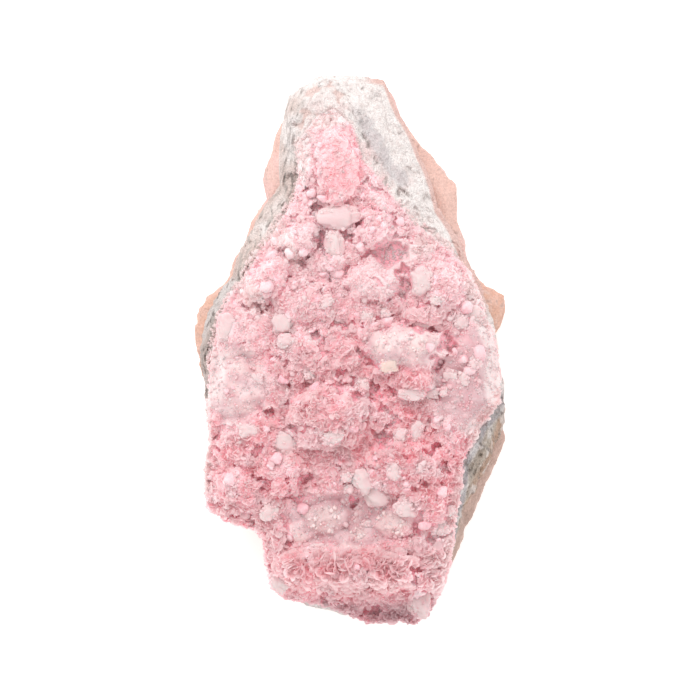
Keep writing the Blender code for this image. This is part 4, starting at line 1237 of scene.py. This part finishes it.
def addNodules():
    # small lumpy balls, each bent by its own noise, half sunk in the crust
    lat, lon = ballGrid(nodules["around"], nodules["up"])
    ball, faces = closedRings(np.cos(lat) * np.cos(lon), np.cos(lat) * np.sin(lon), np.sin(lat))
    x, y, draw = scatterPlaces(nodules["spacing"], nodules["seed"], 0.98)
    chance = (0.08 + 0.50 * sugarShare(x, y)) * unit(0.6 + 0.9 * swirlNoise(x, y, 5.0, 281))
    chance = chance * (1.0 - 0.7 * spotShare(x, y, frostedSpots))
    keep = (draw.uniform(0, 1, len(x)) < chance) & clearOfKnobs(x, y, 1.6)
    x, y = x[keep], y[keep]
    closeX, closeY, _ = scatterPlaces(nodules["lumpSpacing"], nodules["lumpSeed"], 0.98)
    within = np.min([inside(closeX, closeY, lump) for lump in sugarLumps], 0) < 1.0
    crowded = 0.5 + 1.1 * swirlNoise(closeX, closeY, 1.8, 285)
    within &= draw.uniform(0, 1, len(closeX)) < nodules["lumpShare"] * crowded
    frosty = np.append(np.zeros(len(x)), np.ones(within.sum()))  # 1 for the balls dotted over a lump
    x, y = np.append(x, closeX[within]), np.append(y, closeY[within])
    count = len(x)
    small, large = nodules["radius"]
    radius = small + (large - small) * draw.uniform(0, 1, count) ** 2.0
    radius = np.where(frosty > 0, nodules["lumpRadius"] * draw.uniform(0.6, 1.2, count), radius)
    bx, by, bz = np.moveaxis(ball[None] + draw.uniform(0, 50, (count, 1, 3)), -1, 0)
    swell = 1.0 + 0.42 * fractalNoise(bx, by, bz, 0.9, 283, 3)
    bent = ball[None] * swell[..., None]
    stretch = radius[:, None] * draw.uniform(0.8, 1.2, (count, 3))
    frames = framesFrom(crustNormal(x, y, 0.6), draw.uniform(0, 6.28, count),
                        draw.normal(0, 0.3, count), stretch)
    centres = onCrust(x, y) + 0.15 * frames[:, :, 1]
    corners = np.einsum("nij,nkj->nki", frames, bent) + centres[:, None, :]
    # painted shade and light: each ball is rosier and darker low down, paler on its top and its bulges
    lift = unit(0.5 + 0.55 * bent[..., 1] + 0.8 * (swell - 1.0))
    low = twoTone(nodules, "low", "frostyLow", frosty)
    top = twoTone(nodules, "top", "blushTop", draw.uniform(0, 1, count))
    top = mixIn(top, nodules, "frostyTop", frosty)
    tint = zoneTint(blendColours(low[:, None], top[:, None], lift), x[:, None], y[:, None], 0.3)
    material = crystalMaterial("paleNodules", nodules["look"])
    addCopies("paleNodules", material, corners, faces, tint)


druse = {
    "spacing": 0.5, "seed": 12, "size": 0.30, "pale": (255, 246, 246), "pink": (252, 228, 230),
    "look": {"roughness": 0.3, "through": 0.5, "grain": 0.15, "grainDepth": 0.02},
}


def addDruse():
    # small crystal tips, four faces each, on the frosted ground
    shape = np.array([(1, -0.6, 0), (0, -0.6, 1), (-1, -0.6, 0), (0, -0.6, -1), (0, 1, 0)], float)
    i = np.arange(4)
    faces = np.stack([(i + 1) % 4, i, np.full(4, 4)], -1)
    x, y, draw = scatterPlaces(druse["spacing"], druse["seed"])
    chance = 0.03 + 0.22 * spotShare(x, y, frostedSpots)
    keep = (draw.uniform(0, 1, len(x)) < chance) & clearOfKnobs(x, y)
    x, y = x[keep], y[keep]
    size = druse["size"] * draw.uniform(0.5, 1.25, (len(x), 1)) * draw.uniform(0.8, 1.2, (len(x), 3))
    frames = framesFrom(crustNormal(x, y, 0.3), draw.uniform(0, 6.28, len(x)),
                        draw.normal(0, 0.6, len(x)), size)
    corners = copyCorners(shape, frames, onCrust(x, y) + 0.3 * frames[:, :, 1])
    tint = twoTone(druse, "pale", "pink", draw.uniform(0, 1, len(x))).repeat(len(shape), 0)
    addCopies("frostDruse", crystalMaterial("frostDruse", druse["look"]), corners, faces, tint)


# Floor, light and camera, in metres.
studio = {
    "floor": (0.93, 0.92, 0.91), "floorHalf": 2.5, "floorGlow": 0.35, "sky": 0.90,
    "keyPower": 0.95, "keySize": 0.26, "keyPlace": (-0.11, 0.28, 0.35), "keyAim": (0.0, 0.0, 0.02),
    "fillPower": 1.0, "fillSize": 0.8, "fillPlace": (0.6, -0.5, 0.7),
    "cameraHeight": 0.725, "lens": 200.0,
}


def intoScene(name, data, place=(0.0, 0.0, 0.0)):
    # an object that holds the data, linked to the scene
    holder = bpy.data.objects.new(name, data)
    holder.location = place
    bpy.context.scene.collection.objects.link(holder)
    return holder


def areaLight(name, place, aim, power, size):
    # a square lamp that looks from its place to its aim
    lamp = bpy.data.lights.new(name, "AREA")
    lamp.energy = power
    lamp.size = size
    turn = (Vector(aim) - Vector(place)).to_track_quat("-Z", "Y")
    intoScene(name, lamp, place).rotation_euler = turn.to_euler()


def addStudio():
    # a pale floor, a soft key light from the tip's left, a fill, an even sky and the camera
    white = (1.0, 1.0, 1.0, 1.0)
    mesh = bpy.data.meshes.new("studioFloor")
    half = studio["floorHalf"]
    mesh.from_pydata([(-half, -half, 0), (half, -half, 0), (half, half, 0), (-half, half, 0)],
                     [], [(0, 1, 2, 3)])
    material = bpy.data.materials.new("studioFloor")
    material.use_nodes = True
    shader = material.node_tree.nodes["Principled BSDF"]
    setInputs(shader, {"Base Color": (*studio["floor"], 1.0), "Roughness": 0.9})
    setInputs(shader, {"Emission Color": white, "Emission Strength": studio["floorGlow"]})
    mesh.materials.append(material)
    intoScene("studioFloor", mesh)
    areaLight("key", studio["keyPlace"], studio["keyAim"], studio["keyPower"], studio["keySize"])
    areaLight("fill", studio["fillPlace"], studio["keyAim"], studio["fillPower"], studio["fillSize"])
    world = bpy.data.worlds.new("softSky")
    world.use_nodes = True
    setInputs(world.node_tree.nodes["Background"], {"Color": white, "Strength": studio["sky"]})
    bpy.context.scene.world = world
    bpy.context.scene.view_settings.view_transform = "Standard"
    camera = bpy.data.cameras.new("overhead")
    camera.lens = studio["lens"]
    camera.sensor_width = 36.0
    camera.clip_start = 0.01
    bpy.context.scene.camera = intoScene("overhead", camera, (0.0, 0.0, studio["cameraHeight"]))
    print("studio: floor, lights and camera")


addStudio()
addWallRock()
veinSkin = addQuartzVein()
addBlades(addCrustGround())
addBeads(addMilkyKnobs(), veinSkin)
addNodules()
addDruse()
